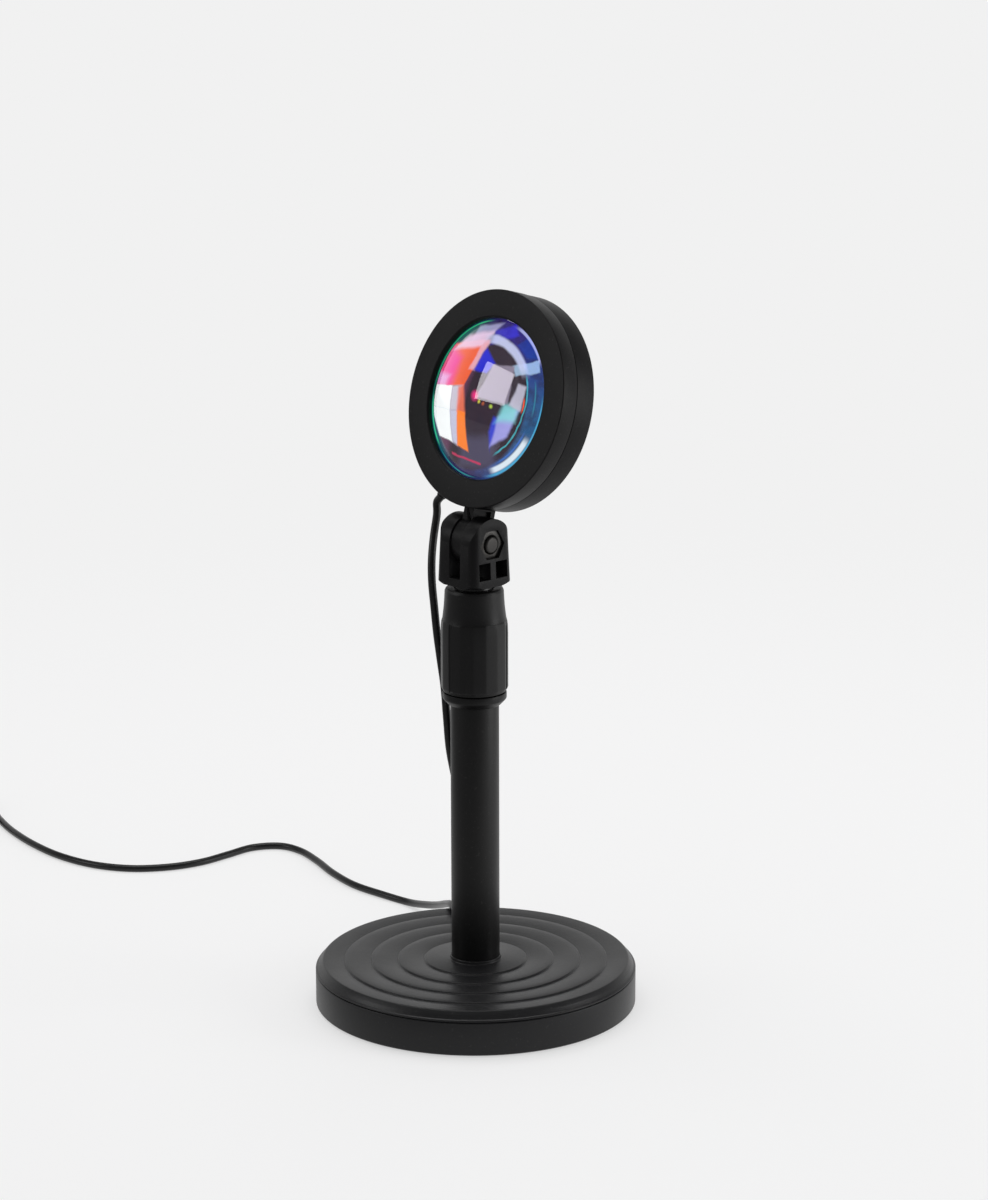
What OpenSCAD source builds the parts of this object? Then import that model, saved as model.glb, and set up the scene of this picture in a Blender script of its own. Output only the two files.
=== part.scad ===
// Sunset projection lamp: a weighted round base, a two-part telescopic pole with a
// twist-lock grip, a fork with a friction hinge, and a round head that holds a
// plano-convex projection lens over a colour filter and a small light board.
// Millimetres, +Z up, origin at the middle of the base on the table. At rest the lens
// looks towards -Y, tipped up by head_tilt, and the hinge bolt lies along X.

/* [Base] */
// Diameter of the base
base_d = 120; // [100:1:150]
// Height of the base's top face above the table
base_h = 16.9; // [16:0.1:24]
// Height of the upright side wall, up to the shoulder
base_side_h = 13; // [11:0.1:14.5]
// How far the shoulder draws in at the top edge
base_shoulder = 3.2; // [1:0.1:6]
// Wall of the moulded base shell
base_wall = 2.4; // [1.6:0.1:3]
// Number of rings moulded in the top face
ring_count = 4; // [1:1:4]
// Radius of the smallest ring
ring_first_r = 19.4; // [15:0.1:20]
// Spacing of the rings
ring_step = 10; // [6:0.5:10.5]
// Width of a ring groove
ring_w = 0.9; // [0.5:0.1:2]
// Depth of a ring groove
ring_depth = 0.5; // [0.2:0.1:1]
// Height of the moulded collar round the pole's foot
foot_lip_h = 1.3; // [0.5:0.1:3]
// Wall of the moulded collar round the pole's foot
foot_lip_t = 0.5; // [0.4:0.1:2]
// Number of stiffening ribs inside the shell
rib_count = 8; // [3:1:12]
// Thickness of the steel ballast disc
ballast_t = 5; // [4:0.5:6]
// Thickness of the foam pad under the base
pad_t = 1.5; // [1.2:0.1:2.5]
// Gap between the shell's rim and the table
rim_lift = 0.5; // [0.2:0.1:1]

/* [Pole] */
// Outer diameter of the lower tube
tube_d = 18; // [17:0.5:20]
// Wall of the lower tube
tube_wall = 1.2; // [0.8:0.1:1.4]
// Length of the lower tube, which sets the travel of the inner tube
tube_len = 115.5; // [80:0.5:180]
// Outer diameter of the sliding inner tube
inner_d = 14; // [12:0.1:14.2]
// Wall of the inner tube
inner_wall = 1; // [0.8:0.1:1.5]
// Length of the lower tube held inside the lock collar
collar_grip = 8.3; // [6:0.1:12]
// Diameter of the lock collar's flange
flange_d = 23.7; // [22:0.1:25]
// Thickness of the lock collar's flange
flange_h = 2.4; // [1.5:0.1:4]
// Diameter of the lock collar's neck, inside the grip
neck_d = 20; // [19:0.1:21]
// Height of the lock collar's neck above the flange
neck_h = 15.6; // [10:0.1:18]

/* [Twist grip] */
// Diameter over the raised grip panels
grip_d = 24.6; // [24.2:0.1:27]
// Diameter at the top of the grip
grip_top_d = 21.4; // [19:0.1:23]
// Height of the grip
grip_h = 39; // [36:0.5:48]
// Height of the raised panels
panel_h = 26; // [20:0.5:30]
// How far the panels stand out of the grip
panel_rise = 0.8; // [0.3:0.1:1.2]
// Number of raised panels
panel_count = 3; // [2:1:6]
// Width of the groove between two panels
panel_gap = 1.6; // [0.8:0.1:3]
// Direction of the first groove, seen from above
panel_turn = -88; // [-180:1:180]
// Number of fine flutes round the grip
flute_count = 60; // [24:6:90]
// Wall of the collet's sleeve under the jaws
collet_wall = 0.75; // [0.5:0.05:1]
// Length of the collet's clamping jaws
jaw_h = 14; // [8:0.5:18]
// Number of slits between the jaws
jaw_slits = 4; // [2:1:6]

/* [Fork] */
// Width of the fork's foot across its rounded corners
fork_d = 26.4; // [25:0.1:30]
// Width of the fork's foot across the cheeks that hold the nut and the bolt's head
cheek_w = 21.2; // [20:0.1:25]
// Width of the fork's foot across its flanks, front to back
flank_w = 19.8; // [18:0.1:24]
// Height of the hinge bolt above the fork's underside
hinge_rise = 15.6; // [13:0.1:20]
// Radius of the rounded ear tops
ear_r = 9.5; // [8:0.1:12]
// Thickness of the fork's floor under the slot
fork_floor = 3; // [2.5:0.1:5]
// Width of one window in an ear
window_w = 5.6; // [3:0.1:7]
// Height of the windows
window_h = 6.3; // [3:0.1:7]
// Width of the bar between two windows
window_bar = 2.6; // [1:0.1:4]
// Thread diameter of the hinge bolt
bolt_d = 6; // [5:0.5:6.5]
// Width across the flats of the hinge nut
nut_af = 10; // [9:0.5:11]
// Thickness of the hinge nut and of the bolt's head
nut_t = 3.2; // [2.4:0.1:4]
// Thickness of the ear under the nut and under the bolt's head
ear_web = 2.95; // [1.8:0.05:3.4]
// Thickness of a friction washer
washer_t = 0.3; // [0.2:0.1:1]

/* [Head] */
// Diameter of the round opening in the bezel
opening_d = 59; // [50:0.5:80]
// Width of the bezel's flat face round the opening
rim_w = 10.4; // [9.6:0.1:16]
// How far the rear shell's side stands in from the bezel's
rear_step = 0.4; // [0.2:0.1:1]
// Depth of the front bezel, from its face to the seam
bezel_depth = 7.2; // [6.8:0.1:10]
// Depth of the rear shell, from the seam to its back
rear_depth = 8.5; // [8:0.1:14]
// Distance of the seam in front of the hinge bolt
seam_w = 1.1; // [0.5:0.1:2]
// Depth of the narrow groove round the head where the bezel meets the rear shell
seam_groove = 0.6; // [0.3:0.1:1]
// Distance from the hinge bolt to the bezel's edge
stem_l = 11.7; // [11.4:0.1:20]
// Tilt of the lens axis above the horizontal at rest
head_tilt = 15; // [0:1:45]
// Wall of the bezel and of the rear shell
head_wall = 2; // [1.4:0.1:2.2]
// Width of the neck between the fork's ears
stem_w = 5.2; // [4.4:0.1:7]
// Depth of the neck from front to back
stem_d = 10.8; // [8:0.1:11.5]
// Radius of the neck's knuckle round the bolt
knuckle_r = 8.1; // [7:0.1:9.5]
// Number of vent slots in the back
vent_count = 7; // [3:2:9]
// Width of a vent slot
vent_w = 2; // [1:0.1:3]
// Spacing of the vent slots
vent_step = 5; // [4:0.5:6]

/* [Optics] */
// How far the lens bulges out of its flange
lens_crown = 6.8; // [3:0.1:10]
// Thickness of the lens flange
lens_flange_t = 2.4; // [1.5:0.1:2.6]
// Thickness of the colour filter
filter_t = 1; // [0.5:0.1:1.2]
// How far the colour filter's edge lies inside the opening's
filter_inset = 1; // [0.5:0.1:4]
// Diameter of the light board
board_d = 32; // [28:0.5:36]
// Thickness of the light board
board_t = 1.2; // [0.8:0.1:1.6]
// Number of light chips round the middle one
chip_count = 6; // [3:1:8]
// Width of a light chip
chip_w = 3.5; // [2:0.1:4]
// Radius of the ring of light chips
chip_r = 6.5; // [6:0.1:8]

/* [Lead] */
// Diameter of the lead
cord_d = 3; // [2.6:0.1:3.2]
// Length of the plug's moulded body
plug_l = 24; // [18:0.5:32]
// Width of the plug's moulded body
plug_w = 15.6; // [14:0.1:18]
// Thickness of the plug's moulded body
plug_h = 7.6; // [6.5:0.1:9]

/* [Hidden] */
$fn = 96;

// Clearances: a turning or sliding fit, a piece laid beside another, and a free gap
run_fit = 0.05;
lay_gap = 0.2;
free_gap = 0.3;
eps = 0.01;

// Base heights and radii
base_r = base_d / 2;
ballast_z = pad_t;
ballast_top = ballast_z + ballast_t;
ballast_r = base_r - base_wall - free_gap;
boss_floor_t = 2;
tube_foot = ballast_top + boss_floor_t;
boss_wall = 4;
rib_t = 1.6;
shoulder_notch = 0.4;

// Foot bolt: M6 with its head sunk in the ballast
foot_bolt_r = 3;
foot_head_t = 2.2;
foot_head_af = 10;
foot_washer_r = 7.4;
foot_washer_t = 1.1;
foot_sink = foot_head_t + foot_washer_t + 0.1;
foot_seat = ballast_z + foot_sink;
foot_bolt_l = 13;
plug_len = 9;

// Pole heights
tube_r = tube_d / 2;
tube_bore = tube_r - tube_wall;
tube_top = tube_foot + tube_len;
inner_r = inner_d / 2;
collar_bottom = tube_top - collar_grip;
collar_cone_h = 2.3;
flange_z = collar_bottom + collar_cone_h;
flange_top = flange_z + flange_h;
neck_top = flange_top + neck_h;
collet_foot = tube_top + 2;
neck_bore = inner_r + collet_wall + 2 * run_fit;
stop_len = 8;
inner_foot = tube_foot + plug_len + free_gap + 0.1;
stop_top = inner_foot + stop_len;
slide_travel = collet_foot - 0.1 - stop_top;

// Collet jaws, and the cone in the grip that closes on them
jaw_foot = neck_top + 0.1;
jaw_rim_h = 1.4;
jaw_rim_r = neck_d / 2 - 0.4;
jaw_tip_r = inner_r + 1.1;
jaw_top = jaw_foot + jaw_rim_h + jaw_h;
cone_gap = 0.35;

// Grip heights
grip_z = flange_top + free_gap;
grip_top = grip_z + grip_h;
grip_r = grip_d / 2;
grip_root_r = grip_r - panel_rise;
panel_foot = grip_z + 1;
panel_top = grip_z + panel_h + 1;
panel_taper_h = 4.5;
panel_taper = 0.3;
flute_depth = 0.14;
grip_bore = inner_r + 0.4;

// Fork heights
fork_lift = 1.7;
fork_z = grip_top + fork_lift;
hinge_z = fork_z + hinge_rise;
fork_r = fork_d / 2;
fork_top_r = fork_r - 0.9;
fork_edge = 0.8;
slot_w = stem_w + 2 * (washer_t + run_fit);
seat_x = slot_w / 2 + ear_web;
spigot_r = inner_r - inner_wall - run_fit;
spigot_l = 16;
window_sill = fork_floor;
cheek_draft = 1.2;
pocket_r = nut_af / 2 / cos(30) + 0.15;
bolt_r = bolt_d / 2;
bolt_head_r = bolt_r + 2.2;
bolt_tip = 0.8;
washer_r = knuckle_r - 1;

// Head planes, measured along the lens axis from the hinge bolt
opening_r = opening_d / 2;
head_r = opening_r + rim_w;
rear_r = head_r - rear_step;
hinge_to_axis = head_r + stem_l;
face_w = seam_w + bezel_depth;
back_w = seam_w - rear_depth;
back_t = 1.6;
vent_floor = 0.6;
lip_t = 2;
lens_top_w = face_w - lip_t;
lens_r = opening_r + 2.5;
lens_back_w = lens_top_w - lens_flange_t;
barrel_r = lens_r + lay_gap;
barrel_wall = 1.5;
gasket_t = 0.7;
gasket_w = lens_back_w - gasket_t;
filter_r = opening_r - filter_inset;
retainer_foot_w = gasket_w - filter_t - 0.9;
barrel_foot_w = retainer_foot_w + 0.9;
cap_r = opening_r - 0.3;
cap_sphere = (cap_r * cap_r + lens_crown * lens_crown) / (2 * lens_crown);
spreader_w = back_w + back_t;
spreader_t = 1.2;
board_w = spreader_w + spreader_t;
board_top_w = board_w + board_t;
board_r = board_d / 2;
board_tongue_w = 5;
board_tongue_r = board_r + 5;
spreader_r = board_r + 6;
reflector_foot_r = board_r - 1.6;
reflector_top_r = filter_r - 2;
reflector_t = 0.8;
chip_t = 0.8;

// Screws that hold the rear shell to the bezel, sunk in the back
screw_angles = [35, 145, 215, 325];
screw_ring_r = rear_r - head_wall - 1.7;
screw_shank_r = 0.8;
screw_head_r = 1.8;
screw_sink = 2;
screw_head_t = 1.5;
screw_boss_r = 2;
screw_bite = 3;
screw_foot_w = back_w + screw_sink - screw_head_t;
screw_l = seam_w + screw_bite - screw_foot_w;

// Neck: its stem ends in a foot that fills a short arc of the hollow behind the rim
neck_foot_w = 22;
neck_foot_t = 2.6;

// Lead exit: a short moulded relief in the rear shell's side, low on the left
exit_turn = 237;
exit_w = back_w + 4;
exit_hole_r = 1.9;
relief_l = 6.5;
exit_r = rear_r + relief_l;
inner_lead_r = 0.5;
lead_lie_w = board_top_w + inner_lead_r + 0.02;

// Lead route: hand-chosen points after the relief's end, the coil's middle and its start
cord_r = cord_d / 2;
hang_route = [
  [-26.2, 5.5, 182], [-25.7, 3.4, 174], [-24, 0.8, 166], [-22.2, -0.8, 158],
  [-20.6, -1.2, 149], [-19.2, -1.2, 139], [-17.4, -1.1, 129], [-15.5, -1, 119],
  [-14.3, -0.9, 107], [-13.5, -0.3, 95], [-12.6, 2, 82], [-11.7, 4.6, 68],
  [-11.5, 6.9, 54], [-13.8, 10, 40.5], [-20.5, 15.1, 28.5], [-30, 21, 21.5],
  [-39, 26.2, 18.9], [-47.3, 30.8, 18.5]];
floor_route = [
  [-57, 36.8, 15], [-69, 43.6, 10], [-82, 49.4, 5.4], [-97.6, 53.4, 1.6],
  [-113, 52.2, 1.5], [-130, 51.8, 1.5], [-148, 55.5, 1.5], [-165, 61.2, 1.5],
  [-180, 64.8, 1.5], [-191.5, 63, 1.5], [-198, 53, 1.5], [-197.7, 39, 1.5],
  [-197.5, 25, 1.5], [-201.5, 11, 1.5], [-211, -2, 1.5], [-226, -10.4, 1.5],
  [-245, -13.6, 1.5], [-266, -12.3, 1.5], [-287, -8.2, 1.5], [-304, -2.8, 1.5]];
coil_mid = [-335, -17];
coil_start = 67;
coil_turns = 8 + 1 / 3;
coil_pitch = cord_d + 0.45;
coil_mid_r = 18;
coil_min_r = coil_mid_r - coil_pitch * coil_turns / 4;
coil_out_r = coil_min_r + coil_pitch * coil_turns / 2;
coil_lead = 6;
coil_rings = 24;
coil_low_z = cord_r;
coil_high_z = coil_low_z + coil_pitch;
floor_sides = 8;
coil_sides = 6;
rings_per_span = 2;

// Plug, lying beside the coil
plug_turn = coil_start + 360 * coil_turns + 90;
tail_l = 15;
relief_len = 9;
relief_foot_r = 3;
shell_w = 12;
shell_h = 4.5;
shell_l = 12;
shell_t = 0.3;
tongue_t = 1.9;
contact_t = 0.2;

// Places the children in the head: x right, y up, z along the lens axis, origin where the
// lens axis crosses the plane of the hinge bolt
module head_space()
  translate([0, 0, hinge_z])
    rotate([-head_tilt, 0, 0])
      translate([0, 0, hinge_to_axis])
        rotate([90, 0, 0])
          children();

// Places the children along the hinge bolt: z runs towards +X
module hinge_space()
  translate([0, 0, hinge_z])
    rotate([0, 90, 0])
      children();

// A plain ring between two radii and two heights
module ring(r_in, r_out, z_low, z_high)
  rotate_extrude()
    translate([r_in, z_low])
      square([r_out - r_in, z_high - z_low]);

// A hexagon prism by its width across the flats
module hex_prism(across, h)
  cylinder(h = h, r = across / 2 / cos(30), $fn = 6);

// Points of an arc, from one angle to another
function arc(mid, r, from, to, steps) =
  [for (i = [0:steps]) let (a = from + (to - from) * i / steps)
    mid + r * [cos(a), sin(a)]];

// A point of the head's own space in the lamp's space
function head_point(p) =
  let (up = p[1] + hinge_to_axis)
  [p[0], up * sin(head_tilt) - p[2] * cos(head_tilt),
   hinge_z + up * cos(head_tilt) + p[2] * sin(head_tilt)];

// ---- Base ----

module base_profile() {
  top_r = base_r - base_shoulder;
  inner_r_low = base_r - base_wall;
  boss_r = tube_r + run_fit + boss_wall;
  foot_lip_r = tube_r + run_fit + foot_lip_t;
  ceiling = base_h - base_wall;
  polygon(concat(
    [[inner_r_low, rim_lift], [base_r - 0.5, rim_lift], [base_r, rim_lift + 0.5],
     [base_r, base_side_h], [base_r - shoulder_notch, base_side_h],
     [base_r - shoulder_notch, base_side_h + 0.4]],
    [for (i = [1:4]) let (a = 90 * i / 4, h = base_h - base_side_h - 0.4)
      [top_r + (base_shoulder - shoulder_notch) * cos(a),
       base_side_h + 0.4 + h * sin(a)]],
    [[foot_lip_r + 0.2, base_h], [foot_lip_r, base_h + 0.3],
     [foot_lip_r, base_h + foot_lip_h - 0.2], [foot_lip_r - 0.2, base_h + foot_lip_h],
     [tube_r + run_fit, base_h + foot_lip_h], [tube_r + run_fit, tube_foot],
     [foot_bolt_r + lay_gap, tube_foot], [foot_bolt_r + lay_gap, ballast_top],
     [boss_r, ballast_top], [boss_r + 0.6, ceiling], [inner_r_low - 1, ceiling],
     [inner_r_low, ceiling - 2]]));
}

module base_shell() color("#26262a") {
  difference() {
    rotate_extrude($fn = 128) base_profile();
    for (i = [0:ring_count - 1])
      let (r = ring_first_r + i * ring_step)
        rotate_extrude($fn = 128)
          polygon([[r - ring_w / 2, base_h + eps], [r - ring_w / 4, base_h - ring_depth],
                   [r + ring_w / 4, base_h - ring_depth], [r + ring_w / 2, base_h + eps]]);
  }
  for (i = [0:rib_count - 1])
    rotate(i * 360 / rib_count)
      translate([tube_r + boss_wall, -rib_t / 2, ballast_top])
        cube([base_r - base_wall - tube_r - boss_wall + 0.5, rib_t,
              base_h - base_wall - ballast_top + 0.5]);
}

module base_ballast() color("#5c5e61")
  difference() {
    translate([0, 0, ballast_z])
      cylinder(h = ballast_t, r = ballast_r, $fn = 128);
    translate([0, 0, ballast_z - 1])
      cylinder(h = ballast_t + 2, r = foot_bolt_r + lay_gap);
    translate([0, 0, ballast_z - 1])
      cylinder(h = foot_sink + 1, r = foot_washer_r + free_gap);
  }

module base_pad() color("#1c1c1d")
  rotate_extrude($fn = 128)
    polygon([[0, 0], [ballast_r - 0.8, 0], [ballast_r - 0.3, 0.5],
             [ballast_r - 0.3, pad_t], [0, pad_t]]);

module base_bolt() color("#8c8e92") {
  translate([0, 0, foot_seat - foot_washer_t - foot_head_t])
    hex_prism(foot_head_af, foot_head_t);
  translate([0, 0, foot_seat - foot_washer_t - eps])
    cylinder(h = foot_bolt_l, r = foot_bolt_r);
}

module base_washer() color("#8c8e92")
  ring(foot_bolt_r + lay_gap, foot_washer_r, foot_seat - foot_washer_t, foot_seat);

module tube_plug() color("#9a9b9d")
  difference() {
    translate([0, 0, tube_foot])
      cylinder(h = plug_len, r = tube_bore - run_fit);
    translate([0, 0, tube_foot - 1])
      cylinder(h = plug_len + 2, r = foot_bolt_r + run_fit);
  }

// ---- Pole ----

module lower_tube() color("#1f1e1f")
  ring(tube_bore, tube_r, tube_foot, tube_top);

module lock_collar() color("#232325")
  rotate_extrude()
    polygon([[tube_r + run_fit, collar_bottom], [tube_r + 0.7, collar_bottom],
             [flange_d / 2, flange_z], [flange_d / 2, flange_top - 0.4],
             [flange_d / 2 - 0.4, flange_top], [neck_d / 2, flange_top],
             [neck_d / 2, neck_top - 0.6], [neck_d / 2 - 0.6, neck_top],
             [neck_bore, neck_top], [neck_bore, tube_top],
             [tube_r + run_fit, tube_top]]);

module collet() color("#d8d8d2")
  difference() {
    rotate_extrude()
      polygon([[inner_r + run_fit, collet_foot],
               [inner_r + run_fit + collet_wall, collet_foot],
               [inner_r + run_fit + collet_wall, jaw_foot], [jaw_rim_r, jaw_foot],
               [jaw_rim_r, jaw_foot + jaw_rim_h], [jaw_tip_r, jaw_top],
               [inner_r + run_fit, jaw_top]]);
    for (i = [0:jaw_slits - 1])
      rotate(i * 360 / jaw_slits)
        translate([0, -0.6, jaw_foot + jaw_rim_h + 1])
          cube([jaw_rim_r + 1, 1.2, jaw_h]);
  }

module grip_panels()
  intersection() {
    translate([0, 0, panel_foot])
      linear_extrude(panel_top - panel_foot)
        difference() {
          polygon([for (i = [0:2 * flute_count - 1])
            let (a = i * 180 / flute_count, r = grip_r - (i % 2) * flute_depth)
            r * [cos(a), sin(a)]]);
          for (i = [0:panel_count - 1])
            rotate(panel_turn + i * 360 / panel_count)
              translate([0, -panel_gap / 2])
                square([grip_r + 1, panel_gap]);
        }
    rotate_extrude()
      polygon([[0, panel_foot], [grip_r - 0.4, panel_foot], [grip_r + 0.1, panel_foot + 0.6],
               [grip_r + 0.1, panel_top - panel_taper_h],
               [grip_r - panel_taper, panel_top - 0.3],
               [grip_r - panel_taper - 0.3, panel_top], [0, panel_top]]);
  }

module grip_sleeve() color("#29292b")
  difference() {
    union() {
      rotate_extrude()
        polygon([[0, grip_z], [grip_root_r - 0.2, grip_z], [grip_root_r, grip_z + 0.4],
                 [grip_root_r, panel_top], [grip_top_d / 2, grip_top - 0.6],
                 [grip_top_d / 2 - 0.6, grip_top], [0, grip_top]]);
      grip_panels();
    }
    rotate_extrude()
      polygon([[0, grip_z - 1], [neck_d / 2 + run_fit, grip_z - 1],
               [neck_d / 2 + run_fit, jaw_foot + jaw_rim_h + free_gap],
               [jaw_tip_r + cone_gap, jaw_top + free_gap],
               [grip_bore, jaw_top + free_gap], [grip_bore, grip_top + 1],
               [0, grip_top + 1]]);
  }

module inner_tube() color("#2b2b2d")
  ring(inner_r - inner_wall, inner_r, inner_foot, fork_z);

module stop_bush() color("#d8d8d2")
  rotate_extrude()
    polygon([[inner_r, inner_foot], [tube_bore - run_fit - 0.3, inner_foot],
             [tube_bore - run_fit, inner_foot + 0.5], [tube_bore - run_fit, stop_top - 0.3],
             [tube_bore - run_fit - 0.3, stop_top], [inner_r, stop_top]]);

// ---- Fork ----

// Side outline of the ears: flanks that rise from the foot and run tangent into the
// round tops
module ear_outline() {
  foot = [flank_w / 2, -hinge_rise];
  touch = atan2(foot[1], foot[0]) + acos(ear_r / norm(foot));
  polygon(concat([[-foot[0], foot[1] - 1], [foot[0], foot[1] - 1], foot],
                 arc([0, 0], ear_r, touch, 180 - touch, 24),
                 [[-foot[0], foot[1]]]));
}

// Front outline of the fork: cheeks that lean in towards the top
module cheek_outline() {
  top = cheek_w / 2 - cheek_draft;
  polygon([[-cheek_w / 2, fork_z - 1], [cheek_w / 2, fork_z - 1], [cheek_w / 2, fork_z],
           [top, hinge_z + ear_r + 1], [-top, hinge_z + ear_r + 1],
           [-cheek_w / 2, fork_z]]);
}

module fork_body() {
  intersection() {
    rotate_extrude()
      polygon([[0, fork_z], [fork_r - 2 * fork_edge, fork_z], [fork_r, fork_z + fork_edge],
               [fork_r, fork_z + hinge_rise * 0.5], [fork_top_r, hinge_z + 1],
               [fork_top_r, hinge_z + ear_r + 1], [0, hinge_z + ear_r + 1]]);
    translate([-fork_r - 1, 0, hinge_z])
      rotate([90, 0, 90])
        linear_extrude(fork_d + 2)
          ear_outline();
    translate([0, fork_r + 1, 0])
      rotate([90, 0, 0])
        linear_extrude(fork_d + 2)
          cheek_outline();
  }
  translate([0, 0, fork_z - spigot_l])
    cylinder(h = spigot_l + 1, r = spigot_r);
}

module fork() color("#242426")
  difference() {
    fork_body();
    translate([-slot_w / 2, -fork_r - 1, fork_z + fork_floor])
      cube([slot_w, fork_d + 2, hinge_rise + ear_r + 2]);
    for (side = [-1, 1], row = [-1, 1])
      translate([side > 0 ? slot_w / 2 - 1 : -fork_r - 1,
                 row * (window_bar + window_w) / 2 - window_w / 2, fork_z + window_sill])
        cube([fork_r - slot_w / 2 + 2, window_w, window_h]);
    hinge_space() {
      translate([0, 0, -fork_r - 1])
        cylinder(h = fork_d + 2, r = bolt_r + run_fit);
      translate([0, 0, seat_x])
        rotate(30)
          cylinder(h = fork_r, r = pocket_r, $fn = 6);
      translate([0, 0, -seat_x - fork_r])
        cylinder(h = fork_r, r = bolt_head_r + free_gap);
    }
  }

module hinge_bolt() color("#6f7276")
  difference() {
    hinge_space() {
      translate([0, 0, -seat_x - nut_t])
        rotate_extrude()
          polygon([[0, 0], [bolt_head_r - 0.8, 0], [bolt_head_r, 1.2],
                   [bolt_head_r, nut_t], [0, nut_t]]);
      translate([0, 0, -seat_x - eps])
        cylinder(h = 2 * seat_x + nut_t + bolt_tip - 0.4, r = bolt_r);
      translate([0, 0, seat_x + nut_t + bolt_tip - 0.5])
        cylinder(h = 0.5, r1 = bolt_r, r2 = bolt_r - 0.5);
    }
    hinge_space()
      translate([0, 0, -seat_x - nut_t - eps])
        hex_prism(bolt_r + 1, 2);
  }

module hinge_nut() color("#6f7276")
  hinge_space()
    translate([0, 0, seat_x])
      difference() {
        intersection() {
          rotate(30)
            hex_prism(nut_af, nut_t);
          rotate_extrude()
            polygon([[0, 0], [nut_af * 0.6, 0], [nut_af * 0.6, nut_t - 0.5],
                     [nut_af * 0.48, nut_t], [0, nut_t]]);
        }
        translate([0, 0, -1])
          cylinder(h = nut_t + 2, r = bolt_r + run_fit);
      }

module friction_washers() color("#c9c9c4")
  hinge_space()
    for (side = [-1, 1])
      translate([0, 0, side * (slot_w - washer_t) / 2 - washer_t / 2])
        ring(bolt_r + run_fit, washer_r, 0, washer_t);

// ---- Head shells and neck ----

module neck_foot() {
  foot_r = rear_r - head_wall - lay_gap;
  intersection() {
    ring(foot_r - neck_foot_t, foot_r, -stem_d / 2, seam_w + 3.4);
    translate([-neck_foot_w / 2, -rear_r, back_w])
      cube([neck_foot_w, rear_r / 2, rear_depth + bezel_depth]);
  }
}

module neck() color("#202022")
  difference() {
    union() {
      translate([-stem_w / 2, 0, 0])
        hinge_space_flat(stem_w)
          circle(r = knuckle_r);
      head_space() {
        translate([-stem_w / 2, -hinge_to_axis, -stem_d / 2])
          cube([stem_w, hinge_to_axis - rear_r + head_wall + 1, stem_d]);
        neck_foot();
      }
    }
    hinge_space()
      translate([0, 0, -fork_r])
        cylinder(h = fork_d, r = bolt_r + run_fit);
    head_space()
      for (side = [-1, 1])
        translate([side * stem_w / 2 - 1.4, -hinge_to_axis + knuckle_r + 0.8,
                   -stem_d / 2 + 2])
          cube([2.8, 2.4, stem_d - 4]);
  }

// Extrudes a side outline, drawn round the hinge bolt, along X
module hinge_space_flat(w)
  translate([0, 0, hinge_z])
    rotate([90, 0, 90])
      linear_extrude(w)
        children();

// The cut that the neck's stem passes through, in both shells
module stem_notch()
  translate([-stem_w / 2 - lay_gap, -head_r - 1, -stem_d / 2 - lay_gap])
    cube([stem_w + 2 * lay_gap, head_wall + 4, stem_d + 2 * lay_gap]);

module bezel() color("#2b2b2e")
  head_space()
    difference() {
      union() {
        rotate_extrude($fn = 160)
          polygon(concat(
            [[head_r - head_wall, seam_w], [head_r - seam_groove, seam_w],
             [head_r - seam_groove, seam_w + 0.35], [head_r, seam_w + 0.35]],
            arc([head_r - 0.8, face_w - 0.8], 0.8, 0, 90, 3),
            [[opening_r + 0.6, face_w], [opening_r, face_w - 0.6],
             [opening_r, lens_top_w], [barrel_r, lens_top_w],
             [barrel_r, barrel_foot_w], [barrel_r + barrel_wall, barrel_foot_w],
             [barrel_r + barrel_wall, lens_top_w], [head_r - head_wall, lens_top_w]]));
        for (a = screw_angles)
          rotate(a)
            translate([screw_ring_r, 0, seam_w])
              cylinder(h = lens_top_w - seam_w + 0.5, r = screw_boss_r, $fn = 32);
      }
      for (a = screw_angles)
        rotate(a)
          translate([screw_ring_r, 0, seam_w - 1])
            cylinder(h = lens_top_w - seam_w + 0.6, r = screw_shank_r + run_fit, $fn = 24);
      stem_notch();
    }

module vent_slots()
  for (i = [0:vent_count - 1])
    let (y = (i - (vent_count - 1) / 2) * vent_step,
         half = sqrt(pow(vent_count * vent_step / 2 + 2, 2) - y * y) - 2)
      translate([0, y, back_w - 1]) {
        translate([-half, -vent_w / 2, 0])
          cube([2 * half, vent_w, back_t + 1 - vent_floor]);
        for (side = [-1, 1])
          translate([side * half, 0, 0])
            cylinder(h = back_t + 1 - vent_floor, r = vent_w / 2, $fn = 24);
      }

module rear_shell() color("#2d2d30")
  head_space()
    difference() {
      union() {
        rotate_extrude($fn = 160)
          polygon(concat(
            [[0, back_w]],
            arc([rear_r - 1.8, back_w + 1.8], 1.8, -90, 0, 4),
            [[rear_r, seam_w], [rear_r - head_wall, seam_w],
             [rear_r - head_wall, back_w + back_t], [0, back_w + back_t]]));
        for (a = screw_angles)
          rotate(a)
            translate([screw_ring_r, 0, back_w + back_t - 0.5])
              cylinder(h = rear_depth - back_t + 0.5, r = screw_boss_r + 0.4, $fn = 32);
      }
      for (a = screw_angles)
        rotate(a)
          translate([screw_ring_r, 0, back_w - 1]) {
            cylinder(h = rear_depth + 2, r = screw_shank_r + lay_gap, $fn = 24);
            cylinder(h = screw_sink + 1, r = screw_head_r + lay_gap, $fn = 32);
          }
      vent_slots();
      stem_notch();
      exit_space()
        translate([0, 0, rear_r - head_wall - 1])
          cylinder(h = head_wall + 2, r = exit_hole_r + run_fit, $fn = 32);
    }

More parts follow.
